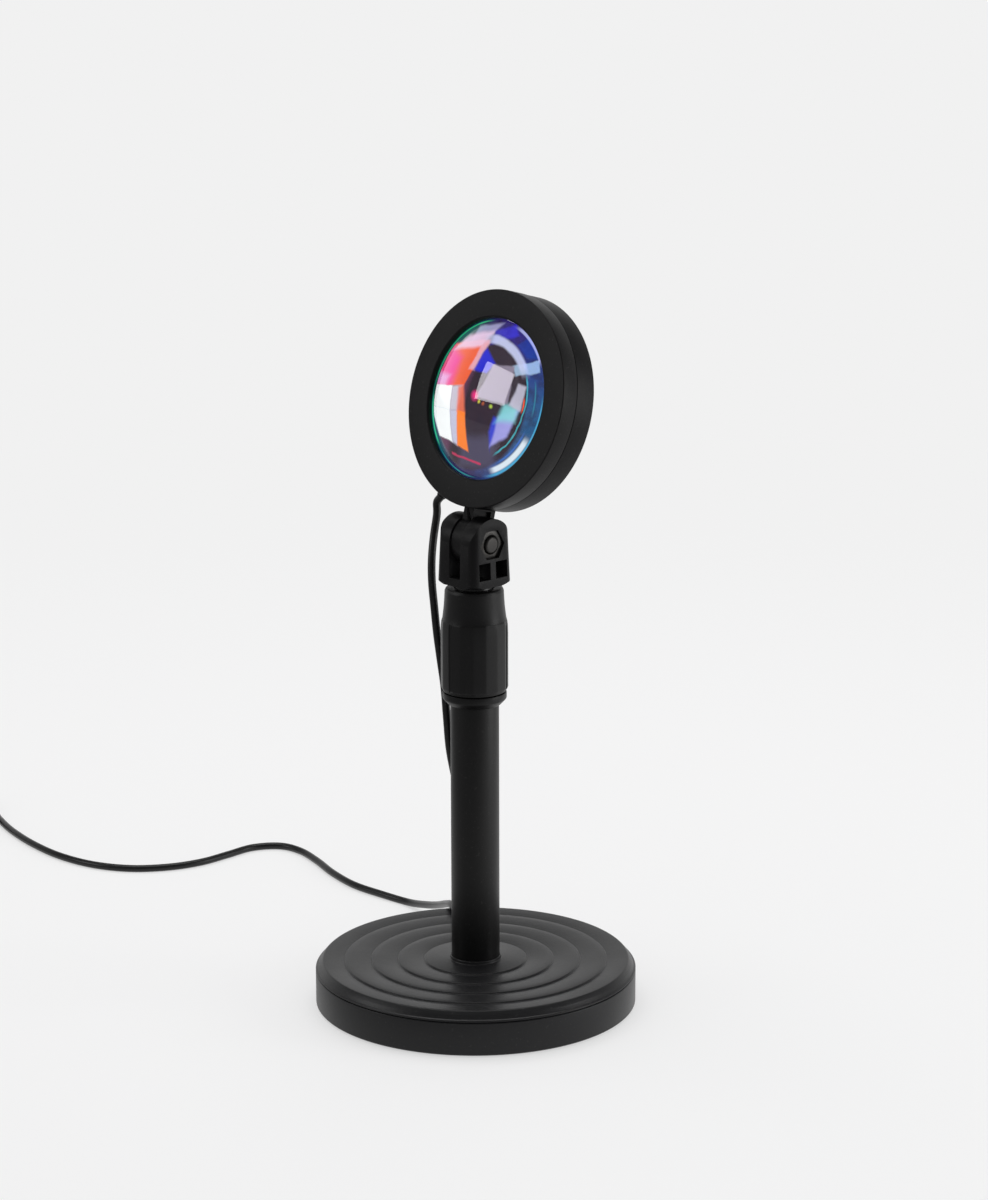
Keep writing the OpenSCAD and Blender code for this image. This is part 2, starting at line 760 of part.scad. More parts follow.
module shell_screws() color("#77797d")
  head_space()
    for (a = screw_angles)
      rotate(a)
        translate([screw_ring_r, 0, screw_foot_w])
          difference() {
            union() {
              cylinder(h = screw_head_t, r = screw_head_r, $fn = 32);
              cylinder(h = screw_l, r = screw_shank_r, $fn = 24);
            }
            for (turn = [0, 90])
              rotate(turn)
                translate([-1.2, -0.25, -1])
                  cube([2.4, 0.5, 1.7]);
          }

// ---- Optics and light board ----

module lens() color("#9fd0d8")
  head_space() {
    translate([0, 0, lens_back_w])
      cylinder(h = lens_flange_t - 0.01, r = lens_r, $fn = 128);
    intersection() {
      translate([0, 0, lens_top_w + lens_crown - cap_sphere])
        sphere(r = cap_sphere, $fn = 160);
      translate([0, 0, lens_back_w + 0.5])
        cylinder(h = lens_crown + lens_flange_t, r = cap_r, $fn = 128);
    }
  }

module lens_gasket() color("#303033")
  head_space()
    ring(lens_r - 3.2, lens_r, gasket_w, lens_back_w);

module colour_filter() color("#b05a9a")
  head_space()
    translate([0, 0, gasket_w - filter_t])
      cylinder(h = filter_t, r = filter_r, $fn = 128);

module lens_retainer() color("#202022")
  head_space()
    rotate_extrude($fn = 128)
      polygon([[filter_r - 2, retainer_foot_w],
               [barrel_r + barrel_wall, retainer_foot_w],
               [barrel_r + barrel_wall, barrel_foot_w], [lens_r, barrel_foot_w],
               [lens_r, gasket_w], [filter_r + 0.1, gasket_w],
               [filter_r + 0.1, gasket_w - filter_t],
               [filter_r - 2, gasket_w - filter_t]]);

module reflector() color("#c9cbd0")
  head_space()
    rotate_extrude($fn = 96)
      polygon([[reflector_foot_r, board_top_w], [reflector_foot_r + reflector_t, board_top_w],
               [reflector_top_r + reflector_t, retainer_foot_w - 0.6],
               [barrel_r, retainer_foot_w - 0.6], [barrel_r, retainer_foot_w],
               [reflector_top_r, retainer_foot_w]]);

module light_board() color("#e6e7e4")
  head_space() {
    translate([0, 0, board_w])
      cylinder(h = board_t, r = board_r);
    rotate(exit_turn)
      translate([board_r - 2, -board_tongue_w / 2, board_w])
        cube([board_tongue_r - board_r + 2, board_tongue_w, board_t]);
  }

module light_chips() color("#f1e7b8")
  head_space()
    translate([0, 0, board_top_w]) {
      translate([-chip_w / 2, -chip_w / 2, 0])
        cube([chip_w, chip_w, chip_t]);
      for (i = [0:chip_count - 1])
        rotate(i * 360 / chip_count + 90)
          translate([chip_r - chip_w / 2, -chip_w / 2, 0])
            cube([chip_w, chip_w, chip_t]);
    }

module remote_receiver() color("#1d1b22")
  head_space()
    translate([-2.2, -chip_r - chip_w - 1.6, board_top_w]) {
      cube([4.4, 2.2, 2.4]);
      translate([2.2, 1.1, 2.4 - 0.3])
        sphere(r = 1.1, $fn = 32);
    }

module heat_spreader() color("#aeb1b5")
  head_space()
    translate([0, 0, spreader_w])
      cylinder(h = spreader_t, r = spreader_r);

// ---- Lead exit ----

// Places the children at the lead's exit: z runs outwards from the head's middle
module exit_space()
  translate([0, 0, exit_w])
    rotate([0, 0, exit_turn])
      rotate([0, 90, 0])
        children();

module cord_grommet() color("#1d1d1f")
  head_space()
    exit_space()
      rotate_extrude($fn = 32)
        polygon([[0, rear_r - head_wall - 1.4], [2.2, rear_r - head_wall - 1.4],
                 [2.2, rear_r - head_wall - 0.3], [exit_hole_r, rear_r - head_wall - 0.2],
                 [exit_hole_r, rear_r + 0.1], [2.6, rear_r + 0.1], [2.6, rear_r + 1.2],
                 [cord_r + 0.3, exit_r], [0, exit_r]]);

// Two leads run from the grommet to the light board's tongue
module inner_leads() color("#a02c28")
  head_space()
    for (side = [-1, 1])
      rotate(exit_turn)
        translate([0, side * 0.75, 0])
          tube_along([[rear_r - head_wall - 1.4, 0, exit_w], [rear_r - 5, 0, exit_w],
                      [rear_r - 9, 0, exit_w + 0.2],
                      [board_tongue_r + 5, 0, exit_w + 0.9],
                      [board_tongue_r + 2, 0, lead_lie_w + 0.1],
                      [board_tongue_r - 1, 0, lead_lie_w],
                      [board_tongue_r - 2.6, 0, lead_lie_w]], inner_lead_r, 6, [0, 1, 0]);

// ---- Lead ----

// One point of a smooth curve through four route points
function spline_point(a, b, c, d, t) =
  0.5 * (2 * b + (c - a) * t + (2 * a - 5 * b + 4 * c - d) * t * t
         + (3 * b - a - 3 * c + d) * t * t * t);

// The whole curve through a route, with a number of rings to each span
function smooth_route(route, steps) =
  let (last = len(route) - 1,
       first_out = 2 * route[0] - route[1],
       last_out = 2 * route[last] - route[last - 1])
  concat(
    [for (i = [0:last - 1], s = [0:steps - 1])
      spline_point(i == 0 ? first_out : route[i - 1], route[i], route[i + 1],
                   i == last - 1 ? last_out : route[i + 2], s / steps)],
    [route[last]]);

function unit(v) = v / norm(v);

// Direction of the curve at a point
function heading(path, i) =
  let (last = len(path) - 1)
  unit(path[min(i + 1, last)] - path[max(i - 1, 0)]);

// A closed tube along a path; its ends take the headings given, or the path's own
module tube_along(path, r, sides, side_axis, start = undef, end = undef) {
  last = len(path) - 1;
  rings = [for (i = [0:last])
    let (h = i == 0 && start != undef ? start : i == last && end != undef ? end
             : heading(path, i),
         u = unit(cross(h, side_axis)),
         v = cross(u, h))
    for (k = [0:sides - 1]) let (a = 360 * (k + 0.5) / sides)
      path[i] + r * (cos(a) * u + sin(a) * v)];
  walls = [for (i = [0:last - 1], k = [0:sides - 1])
    let (n = (k + 1) % sides, p = i * sides, q = p + sides)
    each [[p + k, q + k, q + n], [p + k, q + n, p + n]]];
  caps = [[for (k = [0:sides - 1]) k], [for (k = [sides - 1:-1:0]) last * sides + k]];
  polyhedron(points = rings, faces = concat(walls, caps), convexity = 6);
}

// The hanging lead, from the relief's end to the base's rear edge, then along the table
exit_point = head_point([exit_r * cos(exit_turn), exit_r * sin(exit_turn), exit_w]);
exit_inner = head_point([(exit_r - 3) * cos(exit_turn), (exit_r - 3) * sin(exit_turn),
                         exit_w]);
exit_heading = unit(exit_point - exit_inner);
coil_in = [coil_mid[0] + coil_out_r * cos(coil_start),
           coil_mid[1] + coil_out_r * sin(coil_start), coil_low_z];
coil_heading = [-sin(coil_start), cos(coil_start), 0];
coil_gate = coil_in - coil_lead * coil_heading;
lead_route = concat([exit_point, exit_point + cord_d * exit_heading], hang_route,
                    floor_route, [coil_gate - cord_d * coil_heading, coil_gate]);
lead_path = smooth_route(lead_route, rings_per_span);
hang_axis = unit([0.6, 0.75, 0.28]);
cut_head = rings_per_span * 5;
cut_mast = rings_per_span * 12;
cut_base = rings_per_span * 19;

module lead_piece(from, to, start = undef, end = undef)
  color("#1b1b1c")
    tube_along([for (i = [from:to]) lead_path[i]], cord_r, floor_sides, hang_axis,
               start == undef ? heading(lead_path, from) : start,
               end == undef ? heading(lead_path, to) : end);

module cord_head_drop() lead_piece(0, cut_head, start = exit_heading);
module cord_mast_drop() lead_piece(cut_head, cut_mast);
module cord_base_drop() lead_piece(cut_mast, cut_base);
module cord_floor() lead_piece(cut_base, len(lead_path) - 1, end = coil_heading);

// Coil: one tube that winds in on the table, climbs a layer while it turns back, and
// winds out on top of itself
function coil_radius(u) = coil_min_r + coil_pitch * abs(u - coil_turns / 2);
function coil_height(u) =
  coil_low_z + coil_pitch * max(0, min(1, 2 * (u - coil_turns / 2) + 0.5));
function coil_point(u) =
  [coil_mid[0] + coil_radius(u) * cos(coil_start + 360 * u),
   coil_mid[1] + coil_radius(u) * sin(coil_start + 360 * u), coil_height(u)];
coil_steps = coil_rings * coil_turns;
coil_end_heading = [cos(plug_turn), sin(plug_turn), 0];
coil_loops = [for (i = [0:coil_steps]) coil_point(i / coil_rings)];
coil_out = coil_loops[len(coil_loops) - 1] + coil_lead * coil_end_heading;
coil_path = concat([coil_gate, coil_gate + cord_d * coil_heading], coil_loops,
                   [coil_out - cord_d * coil_end_heading, coil_out]);
tail_end = [coil_out[0] + tail_l * coil_end_heading[0],
            coil_out[1] + tail_l * coil_end_heading[1], plug_h / 2];
tail_path = [coil_out, coil_out + cord_d * coil_end_heading,
             (coil_out + tail_end) / 2,
             tail_end - cord_d * coil_end_heading, tail_end];

module cord_coil() color("#1b1b1c")
  tube_along(coil_path, cord_r, coil_sides, [0, 0, 1], coil_heading, coil_end_heading);

module cord_tail() color("#1b1b1c")
  tube_along(tail_path, cord_r, floor_sides, [0, 0, 1], coil_end_heading,
             coil_end_heading);

// Length of a path, and the least gap between turns of the coil that aren't neighbours
function run(path) = [for (i = [1:len(path) - 1]) norm(path[i] - path[i - 1])];
function total(list, i = 0, sum = 0) =
  i == len(list) ? sum : total(list, i + 1, sum + list[i]);
coil_gap = min([for (i = [0:len(coil_loops) - 1], j = [i + 12:1:len(coil_loops) - 1])
                norm(coil_loops[i] - coil_loops[j])]) - cord_d;
echo(slide_travel = slide_travel, coil_gap = coil_gap, lead_length = total(run(lead_path)),
     coil_length = total(run(coil_path)), tail_length = total(run(tail_path)));

// ---- Plug ----

// Places the children at the tail's end: x runs along the plug
module plug_space()
  translate(tail_end)
    rotate([0, 0, plug_turn])
      children();

// A bar along x with a rounded cross-section
module round_bar(l, w, h, r)
  rotate([90, 0, 90])
    linear_extrude(l)
      union() {
        square([w - 2 * r, h], center = true);
        square([w, h - 2 * r], center = true);
        for (x = [-1, 1], y = [-1, 1])
          translate([x * (w / 2 - r), y * (h / 2 - r)])
            circle(r = r, $fn = 32);
      }

module plug_relief() color("#1d1d1f")
  plug_space()
    difference() {
      rotate([0, 90, 0])
        rotate_extrude($fn = 48)
          polygon([[0, 0], [cord_r + 0.4, 0], [relief_foot_r, relief_len],
                   [0, relief_len]]);
      for (i = [0:2], side = [-1, 1])
        translate([1.6 + i * 2.4, side > 0 ? 1.7 : -4.7, -4])
          cube([1, 3, 8]);
    }

module plug_body() color("#1d1d1f")
  plug_space()
    translate([relief_len, 0, 0])
      difference() {
        round_bar(plug_l, plug_w, plug_h, 1.8);
        for (i = [0:4], side = [-1, 1])
          translate([4 + i * 2, side > 0 ? plug_w / 2 - 0.5 : -plug_w / 2 - 0.5, -plug_h])
            cube([0.9, 1, 2 * plug_h]);
      }

module plug_shell() color("#b9bcc0")
  plug_space()
    translate([relief_len + plug_l, 0, 0])
      difference() {
        round_bar(shell_l, shell_w, shell_h, 0.5);
        translate([-1, -shell_w / 2 + shell_t, -shell_h / 2 + shell_t])
          cube([shell_l + 2, shell_w - 2 * shell_t, shell_h - 2 * shell_t]);
        for (side = [-1, 1])
          translate([5.1, side * 2.9 - 1.2, 0])
            cube([2.2, 2.4, shell_h]);
      }

module plug_tongue() color("#e8e8e6")
  plug_space()
    translate([relief_len + plug_l, -shell_w / 2 + shell_t + 0.05,
               -shell_h / 2 + shell_t])
      cube([shell_l - 0.6, shell_w - 2 * shell_t - 0.1, tongue_t]);

module plug_contacts() color("#c9a24a")
  plug_space()
    for (i = [0:3])
      translate([relief_len + plug_l + 2, (i - 1.5) * 2.3 - 0.5,
                 -shell_h / 2 + shell_t + tongue_t])
        cube([shell_l - 3.4, 1, contact_t]);

base_shell();
base_ballast();
base_pad();
base_bolt();
base_washer();
tube_plug();
lower_tube();
lock_collar();
collet();
grip_sleeve();
inner_tube();
stop_bush();
fork();
hinge_bolt();
hinge_nut();
friction_washers();
neck();
bezel();
rear_shell();
shell_screws();
lens();
lens_gasket();
colour_filter();
lens_retainer();
reflector();
light_board();
light_chips();
remote_receiver();
heat_spreader();
inner_leads();
cord_grommet();
cord_head_drop();
cord_mast_drop();
cord_base_drop();
cord_floor();
cord_coil();
cord_tail();
plug_relief();
plug_body();
plug_shell();
plug_tongue();
plug_contacts();
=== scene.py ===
"""Looks of the sunset projection lamp: a black telescopic table lamp with an iridescent lens.

Metres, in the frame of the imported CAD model. Profiles and places are written in
millimetres and scaled by MM. Each part below models one group of pieces, gives them
their finish and lets them ride on the body that carries them."""
from math import acos, atan2, cos, pi, radians, sin, sqrt
import bpy
from mathutils import Matrix, Vector


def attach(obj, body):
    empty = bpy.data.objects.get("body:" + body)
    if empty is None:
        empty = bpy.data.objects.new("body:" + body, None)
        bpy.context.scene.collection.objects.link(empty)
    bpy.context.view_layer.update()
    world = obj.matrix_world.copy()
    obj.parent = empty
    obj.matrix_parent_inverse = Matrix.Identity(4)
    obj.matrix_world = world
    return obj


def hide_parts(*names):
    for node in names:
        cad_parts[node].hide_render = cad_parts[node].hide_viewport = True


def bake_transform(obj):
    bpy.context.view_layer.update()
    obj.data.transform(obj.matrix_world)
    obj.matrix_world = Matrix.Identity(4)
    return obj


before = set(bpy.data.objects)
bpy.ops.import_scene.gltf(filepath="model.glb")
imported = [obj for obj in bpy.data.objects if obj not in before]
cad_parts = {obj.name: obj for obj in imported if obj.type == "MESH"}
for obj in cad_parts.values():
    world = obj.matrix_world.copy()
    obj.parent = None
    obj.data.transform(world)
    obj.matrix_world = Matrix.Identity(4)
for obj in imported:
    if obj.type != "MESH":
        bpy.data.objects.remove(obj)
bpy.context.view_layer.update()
bpy.context.scene.view_settings.view_transform = "Standard"

MM = 0.001
RUN_FIT = 0.05

# ---- Camera, at the viewpoint of the photograph ----

CAMERA_AT = Vector((0.90412, -0.83226, 0.45765))
CAMERA_RIGHT = Vector((0.68204, 0.73131, -0.00258))
CAMERA_UP = Vector((-0.17331, 0.16506, 0.97094))
CAMERA_FORWARD = CAMERA_UP.cross(CAMERA_RIGHT)
LENS_MM, SENSOR_MM = 103.79, 36


def add_camera():
    """A long lens on a full-frame sensor, level with the lamp's head"""
    data = bpy.data.cameras.new("camera")
    data.lens, data.sensor_width = LENS_MM, SENSOR_MM
    data.clip_start, data.clip_end = 0.05, 60
    camera = bpy.data.objects.new("camera", data)
    bpy.context.scene.collection.objects.link(camera)
    turn = Matrix((CAMERA_RIGHT, CAMERA_UP, -CAMERA_FORWARD)).transposed().to_4x4()
    camera.matrix_world = Matrix.Translation(CAMERA_AT) @ turn
    bpy.context.scene.camera = camera


add_camera()

# ---- Tools for modelling ----

# The head's own space has x to its right, y up and z along the lens axis
HINGE_Z = 177.0
HINGE_TO_AXIS = 51.6
HEAD_TILT = radians(15)
HEAD_MIDDLE = Vector((0, HINGE_TO_AXIS * sin(HEAD_TILT),
                      HINGE_Z + HINGE_TO_AXIS * cos(HEAD_TILT)))
HEAD_TURN = pi / 2 - HEAD_TILT
HEAD_SPACE = Matrix.Translation(HEAD_MIDDLE * MM) @ Matrix.Rotation(HEAD_TURN, 4, "X")
# A rod along Z lies along X when this space turns it
ALONG_X = Matrix.Rotation(pi / 2, 4, "Y")
HINGE_SPACE = Matrix.Translation((0, 0, HINGE_Z * MM)) @ ALONG_X
# Corners of a profile: the sine below which one counts as straight, and how much of a
# side its rounding may take
STRAIGHT, EASE_SHARE = 0.12, 0.45


def only(piece):
    """Selects one piece and nothing else"""
    bpy.ops.object.select_all(action="DESELECT")
    piece.select_set(True)
    bpy.context.view_layer.objects.active = piece


def settle(piece, name=None):
    """Puts a piece's place into its mesh and leaves its object at the origin"""
    only(piece)
    bpy.ops.object.transform_apply(location=True, rotation=True, scale=True)
    if name:
        piece.name = piece.data.name = name
    return piece


def place(piece, space):
    """Moves a settled piece from a part's own space to the lamp's"""
    piece.data.transform(space)
    return piece


def choose(piece, kind, test):
    """Enters edit mode with what passes a test, in mm: a vertex by its place, an edge by
    its ends, or a face by its middle and its normal"""
    only(piece)
    bpy.ops.object.mode_set(mode="EDIT")
    bpy.ops.mesh.select_mode(type=kind)
    bpy.ops.mesh.select_all(action="DESELECT")
    bpy.ops.object.mode_set(mode="OBJECT")
    if kind == "VERT":
        for vertex in piece.data.vertices:
            vertex.select = test(vertex.co / MM)
    elif kind == "EDGE":
        for edge in piece.data.edges:
            edge.select = test(*(piece.data.vertices[v].co / MM for v in edge.vertices))
    else:
        for face in piece.data.polygons:
            face.select = test(face.center / MM, face.normal)
    bpy.ops.object.mode_set(mode="EDIT")


def scale_chosen(grow_x, grow_y):
    """Scales what was chosen about the pole's axis, and leaves edit mode"""
    bpy.ops.transform.resize(value=(grow_x, grow_y, 1), center_override=(0, 0, 0))
    bpy.ops.object.mode_set(mode="OBJECT")


def smooth_shading(piece, angle=32):
    """Smooths the shading over edges up to an angle"""
    only(piece)
    bpy.ops.object.shade_smooth_by_angle(angle=radians(angle))
    return piece


def eased(profile, radius, closed):
    """A profile with its corners rounded off by short curves"""
    points = [Vector(p) for p in profile]
    count = len(points)
    rounded_off = []
    for i, corner in enumerate(points):
        before, after = points[i - 1] - corner, points[(i + 1) % count] - corner
        at_end = not closed and i in (0, count - 1)
        if at_end or abs(before.normalized().cross(after.normalized())) < STRAIGHT:
            rounded_off.append(tuple(corner))
            continue
        reach = min(radius, before.length * EASE_SHARE, after.length * EASE_SHARE)
        first = corner + before.normalized() * reach
        last = corner + after.normalized() * reach
        middle = (first + 2 * corner + last) / 4
        rounded_off += [tuple(first), tuple(middle), tuple(last)]
    return rounded_off


def arc(middle, radius, start, end, steps):
    """Points of an arc in a profile, by its angles in degrees"""
    turns = [radians(start + (end - start) * i / steps) for i in range(steps + 1)]
    return [(middle[0] + radius * cos(a), middle[1] + radius * sin(a)) for a in turns]


def draw_up(rings):
    """Extrudes the selected ring through the radii and heights that follow the first"""
    for (radius, height), (next_radius, next_height) in zip(rings, rings[1:]):
        rise = (0, 0, (next_height - height) * MM)
        bpy.ops.mesh.extrude_region_move(TRANSFORM_OT_translate={"value": rise})
        grow = next_radius / radius
        bpy.ops.transform.resize(value=(grow, grow, 1), center_override=(0, 0, 0))


def close_on_axis(rise):
    """Draws the selected ring to a point on the axis"""
    bpy.ops.mesh.extrude_region_move(TRANSFORM_OT_translate={"value": (0, 0, rise * MM)})
    bpy.ops.mesh.merge(type="CENTER")


def turned(name, profile, steps, ease=0.2):
    """A turned piece, from a profile of (radius, height) points in mm. A profile that
    starts and ends on the axis is solid, and any other one closes on itself."""
    solid = profile[0][0] == 0
    profile = eased(profile, ease, closed=not solid)
    rings = profile[1:-1] if solid else profile + profile[:1]
    radius, height = rings[0]
    bpy.ops.mesh.primitive_circle_add(vertices=steps, radius=radius * MM,
                                      location=(0, 0, height * MM))
    piece = bpy.context.object
    bpy.ops.object.mode_set(mode="EDIT")
    bpy.ops.mesh.select_mode(type="EDGE")
    bpy.ops.mesh.select_all(action="SELECT")
    draw_up(rings)
    if solid:
        close_on_axis(profile[-1][1] - rings[-1][1])
        bpy.ops.mesh.select_all(action="DESELECT")
        bpy.ops.mesh.select_non_manifold()
        close_on_axis(profile[0][1] - height)
    bpy.ops.mesh.select_all(action="SELECT")
    bpy.ops.mesh.remove_doubles(threshold=0.002 * MM)
    bpy.ops.mesh.normals_make_consistent(inside=False)
    bpy.ops.object.mode_set(mode="OBJECT")
    return smooth_shading(settle(piece, name))


def plain_tube(name, inner, outer, foot, top, steps, ease=0.2):
    """A straight tube between two heights, or a solid disc if its inner radius is 0"""
    profile = [(inner, foot), (outer, foot), (outer, top), (inner, top)]
    return turned(name, profile, steps, ease)


def block(low, high, name="block"):
    """A block between two corners, in mm"""
    low, high = Vector(low), Vector(high)
    bpy.ops.mesh.primitive_cube_add(size=1, location=(low + high) / 2 * MM)
    piece = bpy.context.object
    piece.scale = (high - low) * MM
    return settle(piece, name)


def rod(radius, start, end, sides=64, name="rod"):
    """A rod along Z between two heights, in mm"""
    bpy.ops.mesh.primitive_cylinder_add(
        vertices=sides, radius=radius * MM, depth=(end - start) * MM,
        location=(0, 0, (start + end) / 2 * MM))
    return settle(bpy.context.object, name)


def carve(piece, *tools, how="DIFFERENCE"):
    """Cuts tools out of a piece, or joins or crosses them, and removes them"""
    for tool in tools:
        only(piece)
        cut = piece.modifiers.new("cut", "BOOLEAN")
        cut.operation, cut.object, cut.solver = how, tool, "EXACT"
        bpy.ops.object.modifier_apply(modifier=cut.name)
        bpy.data.objects.remove(tool)
    return piece


def soften(piece, width, segments=2, angle=30):
    """Rounds the sharp edges of a piece"""
    only(piece)
    edge = piece.modifiers.new("edge", "BEVEL")
    edge.width, edge.segments = width * MM, segments
    edge.limit_method, edge.angle_limit = "ANGLE", radians(angle)
    bpy.ops.object.modifier_apply(modifier=edge.name)
    return piece


def join(name, *pieces):
    """Makes several meshes one piece"""
    bpy.ops.object.select_all(action="DESELECT")
    for piece in pieces:
        piece.select_set(True)
    bpy.context.view_layer.objects.active = pieces[0]
    bpy.ops.object.join()
    pieces[0].name = pieces[0].data.name = name
    return pieces[0]


# ---- Tools for finishes ----

FINISHES = {}
SURFACE_OUTPUTS = {"Colour": "Color", "Roughness": "Float", "Height": "Float"}
BLACK = (0, 0, 0, 1)
DUST_COLOUR = (0.35, 0.34, 0.33, 1)
STAIN_COLOUR = (0.06, 0.055, 0.05, 1)
CLOUD_SCALE, DUST_SCALE, STAIN_SCALE = 34.0, 1300.0, 160.0


def add(tree, kind, settings=None, **sockets):
    """Adds a shader node with its own settings and its inputs' values or links"""
    made = tree.nodes.new("ShaderNode" + kind)
    for key, value in (settings or {}).items():
        setattr(made, key, value)
    for key, value in sockets.items():
        feed(tree, made.inputs[key.replace("_", " ")], value)
    return made


def feed(tree, socket, value):
    """Links a socket to another one, or sets its value"""
    if isinstance(value, bpy.types.NodeSocket):
        tree.links.new(value, socket)
    elif value is not None:
        socket.default_value = value


def sums(tree, operation, *values, clamp=False):
    """A math node's result"""
    made = add(tree, "Math", {"operation": operation, "use_clamp": clamp})
    for socket, value in zip(made.inputs, values):
        feed(tree, socket, value)
    return made.outputs[0]


def product(tree, a, b):
    """Two values multiplied"""
    return sums(tree, "MULTIPLY", a, b)


def total(tree, a, b):
    """Two values added"""
    return sums(tree, "ADD", a, b)


def less(tree, a, b):
    """The second value taken from the first"""
    return sums(tree, "SUBTRACT", a, b)


def swing(tree, value, reach):
    """How far a noise value lies from its middle, times a reach"""
    return product(tree, less(tree, value, 0.5), reach)


def vectors(tree, operation, *values):
    """A vector math node's result"""
    made = add(tree, "VectorMath", {"operation": operation})
    for socket, value in zip(made.inputs, values):
        feed(tree, socket, value)
    return made.outputs["Value" if operation in ("DOT_PRODUCT", "LENGTH") else "Vector"]


def ramp_of(tree, value, low, high, to_low=0.0, to_high=1.0, smooth=True):
    """A value carried from one range to another, held at its ends"""
    made = add(tree, "MapRange",
               {"interpolation_type": "SMOOTHSTEP" if smooth else "LINEAR"})
    for key, number in zip(("Value", "From Min", "From Max", "To Min", "To Max"),
                           (value, low, high, to_low, to_high)):
        feed(tree, made.inputs[key], number)
    return made.outputs["Result"]


def blended(tree, share, under, over):
    """One colour over another"""
    made = add(tree, "Mix", {"data_type": "RGBA"}, Factor=share)
    feed(tree, made.inputs[6], under)
    feed(tree, made.inputs[7], over)
    return made.outputs[2]


def painted(tree, mask, strength, colour, tint):
    """A colour with a tint over it where a mask lets it through"""
    return blended(tree, product(tree, mask, strength), colour, (*tint, 1))


def noise(tree, where, scale, detail=2.0, rough=0.5):
    """A noise texture's value"""
    made = add(tree, "TexNoise", Vector=where, Scale=scale, Detail=detail,
               Roughness=rough)
    return made.outputs["Fac"]


def new_group(name, inputs, outputs):
    """A shader node group with named sockets; returns it, its inputs and its outputs"""
    group = bpy.data.node_groups.new(name, "ShaderNodeTree")
    for way, sockets in (("INPUT", inputs), ("OUTPUT", outputs)):
        for label, kind in sockets.items():
            group.interface.new_socket(name=label, in_out=way,
                                       socket_type="NodeSocket" + kind)
    entry, way_out = group.nodes.new("NodeGroupInput"), group.nodes.new("NodeGroupOutput")
    return group, entry.outputs, way_out.inputs


def placed(tree, group, **sockets):
    """Places a node group in a material"""
    made = tree.nodes.new("ShaderNodeGroup")
    made.node_tree = group
    for key, value in sockets.items():
        feed(tree, made.inputs[key.replace("_", " ")], value)
    return made.outputs


def roughen(group, given, results, uneven, patches, added):
    """Feeds a group's roughness: the given one, its unevenness and what patches add"""
    rough = total(group, given["Roughness"], uneven)
    feed(group, results["Roughness"],
         sums(group, "ADD", rough, product(group, patches, added), clamp=True))


def make_moulded_group():
    """Moulded plastic: eroded grain, faint cloudiness from handling, and sparse dust"""
    group, given, results = new_group(
        "moulded_surface", {"Colour": "Color", "Roughness": "Float", "Grain": "Float",
                            "Cloud": "Float", "Dust": "Float"}, SURFACE_OUTPUTS)
    where = add(group, "TexCoord").outputs["Object"]
    grain = noise(group, where, given["Grain"], 3.0, 0.6)
    pits = noise(group, where, product(group, given["Grain"], 0.37), 1.0)
    cloud = noise(group, where, CLOUD_SCALE, 3.0, 0.6)
    specks = noise(group, where, DUST_SCALE, 0.0)
    dust = product(group, ramp_of(group, specks, 0.735, 0.80), given["Dust"])
    tone = swing(group, cloud, given["Cloud"])
    tinted = add(group, "VectorMath", {"operation": "SCALE"}, Vector=given["Colour"],
                 Scale=total(group, 1.0, product(group, tone, 2.2))).outputs["Vector"]
    feed(group, results["Colour"], blended(group, dust, tinted, DUST_COLOUR))
    uneven = total(group, tone, swing(group, grain, 0.12))
    roughen(group, given, results, uneven, dust, 0.3)
    feed(group, results["Height"], total(group, grain, product(group, pits, 0.6)))
    return group


def make_metal_group():
    """Rolled or turned metal: fine lines along one axis and darker, duller patches"""
    group, given, results = new_group(
        "metal_surface", {"Colour": "Color", "Roughness": "Float", "Lines": "Vector",
                          "Stain": "Float"}, SURFACE_OUTPUTS)
    where = add(group, "TexCoord").outputs["Object"]
    stretched = vectors(group, "MULTIPLY", where, given["Lines"])
    lines = noise(group, stretched, 1.0, 4.0, 0.7)
    patches = ramp_of(group, noise(group, where, STAIN_SCALE, 4.0, 0.6), 0.42, 0.7)
    stain = product(group, patches, given["Stain"])
    feed(group, results["Colour"], blended(group, stain, given["Colour"], STAIN_COLOUR))
    roughen(group, given, results, swing(group, lines, 0.35), stain, 0.25)
    feed(group, results["Height"], lines)
    return group


def new_finish(name, **shader):
    """A new finish, whose shader's own sockets have these plain values"""
    material = FINISHES[name] = bpy.data.materials.new(name)
    material.use_nodes = True
    tree = material.node_tree
    sockets = tree.nodes["Principled BSDF"].inputs
    for key, value in shader.items():
        sockets[key.replace("_", " ")].default_value = value
    return tree, sockets


def bump(tree, height, distance):
    """A bump node's normal; the distance is in mm"""
    return add(tree, "Bump", Height=height, Distance=distance * MM).outputs["Normal"]


def cover(tree, sockets, colour, rough, height, relief):
    """Feeds a shader its colour, its roughness and a relief in mm"""
    feed(tree, sockets["Base Color"], colour)
    feed(tree, sockets["Roughness"], rough)
    feed(tree, sockets["Normal"], bump(tree, height, relief))


MOULDED = make_moulded_group()
METAL = make_metal_group()


def moulded(name, colour, rough, grain, cloud, dust=0.0, relief=0.02, **shader):
    """Moulded plastic or paint"""
    tree, sockets = new_finish(name, **shader)
    made = placed(tree, MOULDED, Colour=(*colour, 1), Roughness=rough, Grain=grain,
                  Cloud=cloud, Dust=dust)
    cover(tree, sockets, made["Colour"], made["Roughness"], made["Height"], relief)


def metal(name, colour, rough, lines, stain, relief=0.004):
    """Bare or plated metal"""
    tree, sockets = new_finish(name, Metallic=1.0)
    made = placed(tree, METAL, Colour=(*colour, 1), Roughness=rough, Lines=lines,
                  Stain=stain)
    cover(tree, sockets, made["Colour"], made["Roughness"], made["Height"], relief)


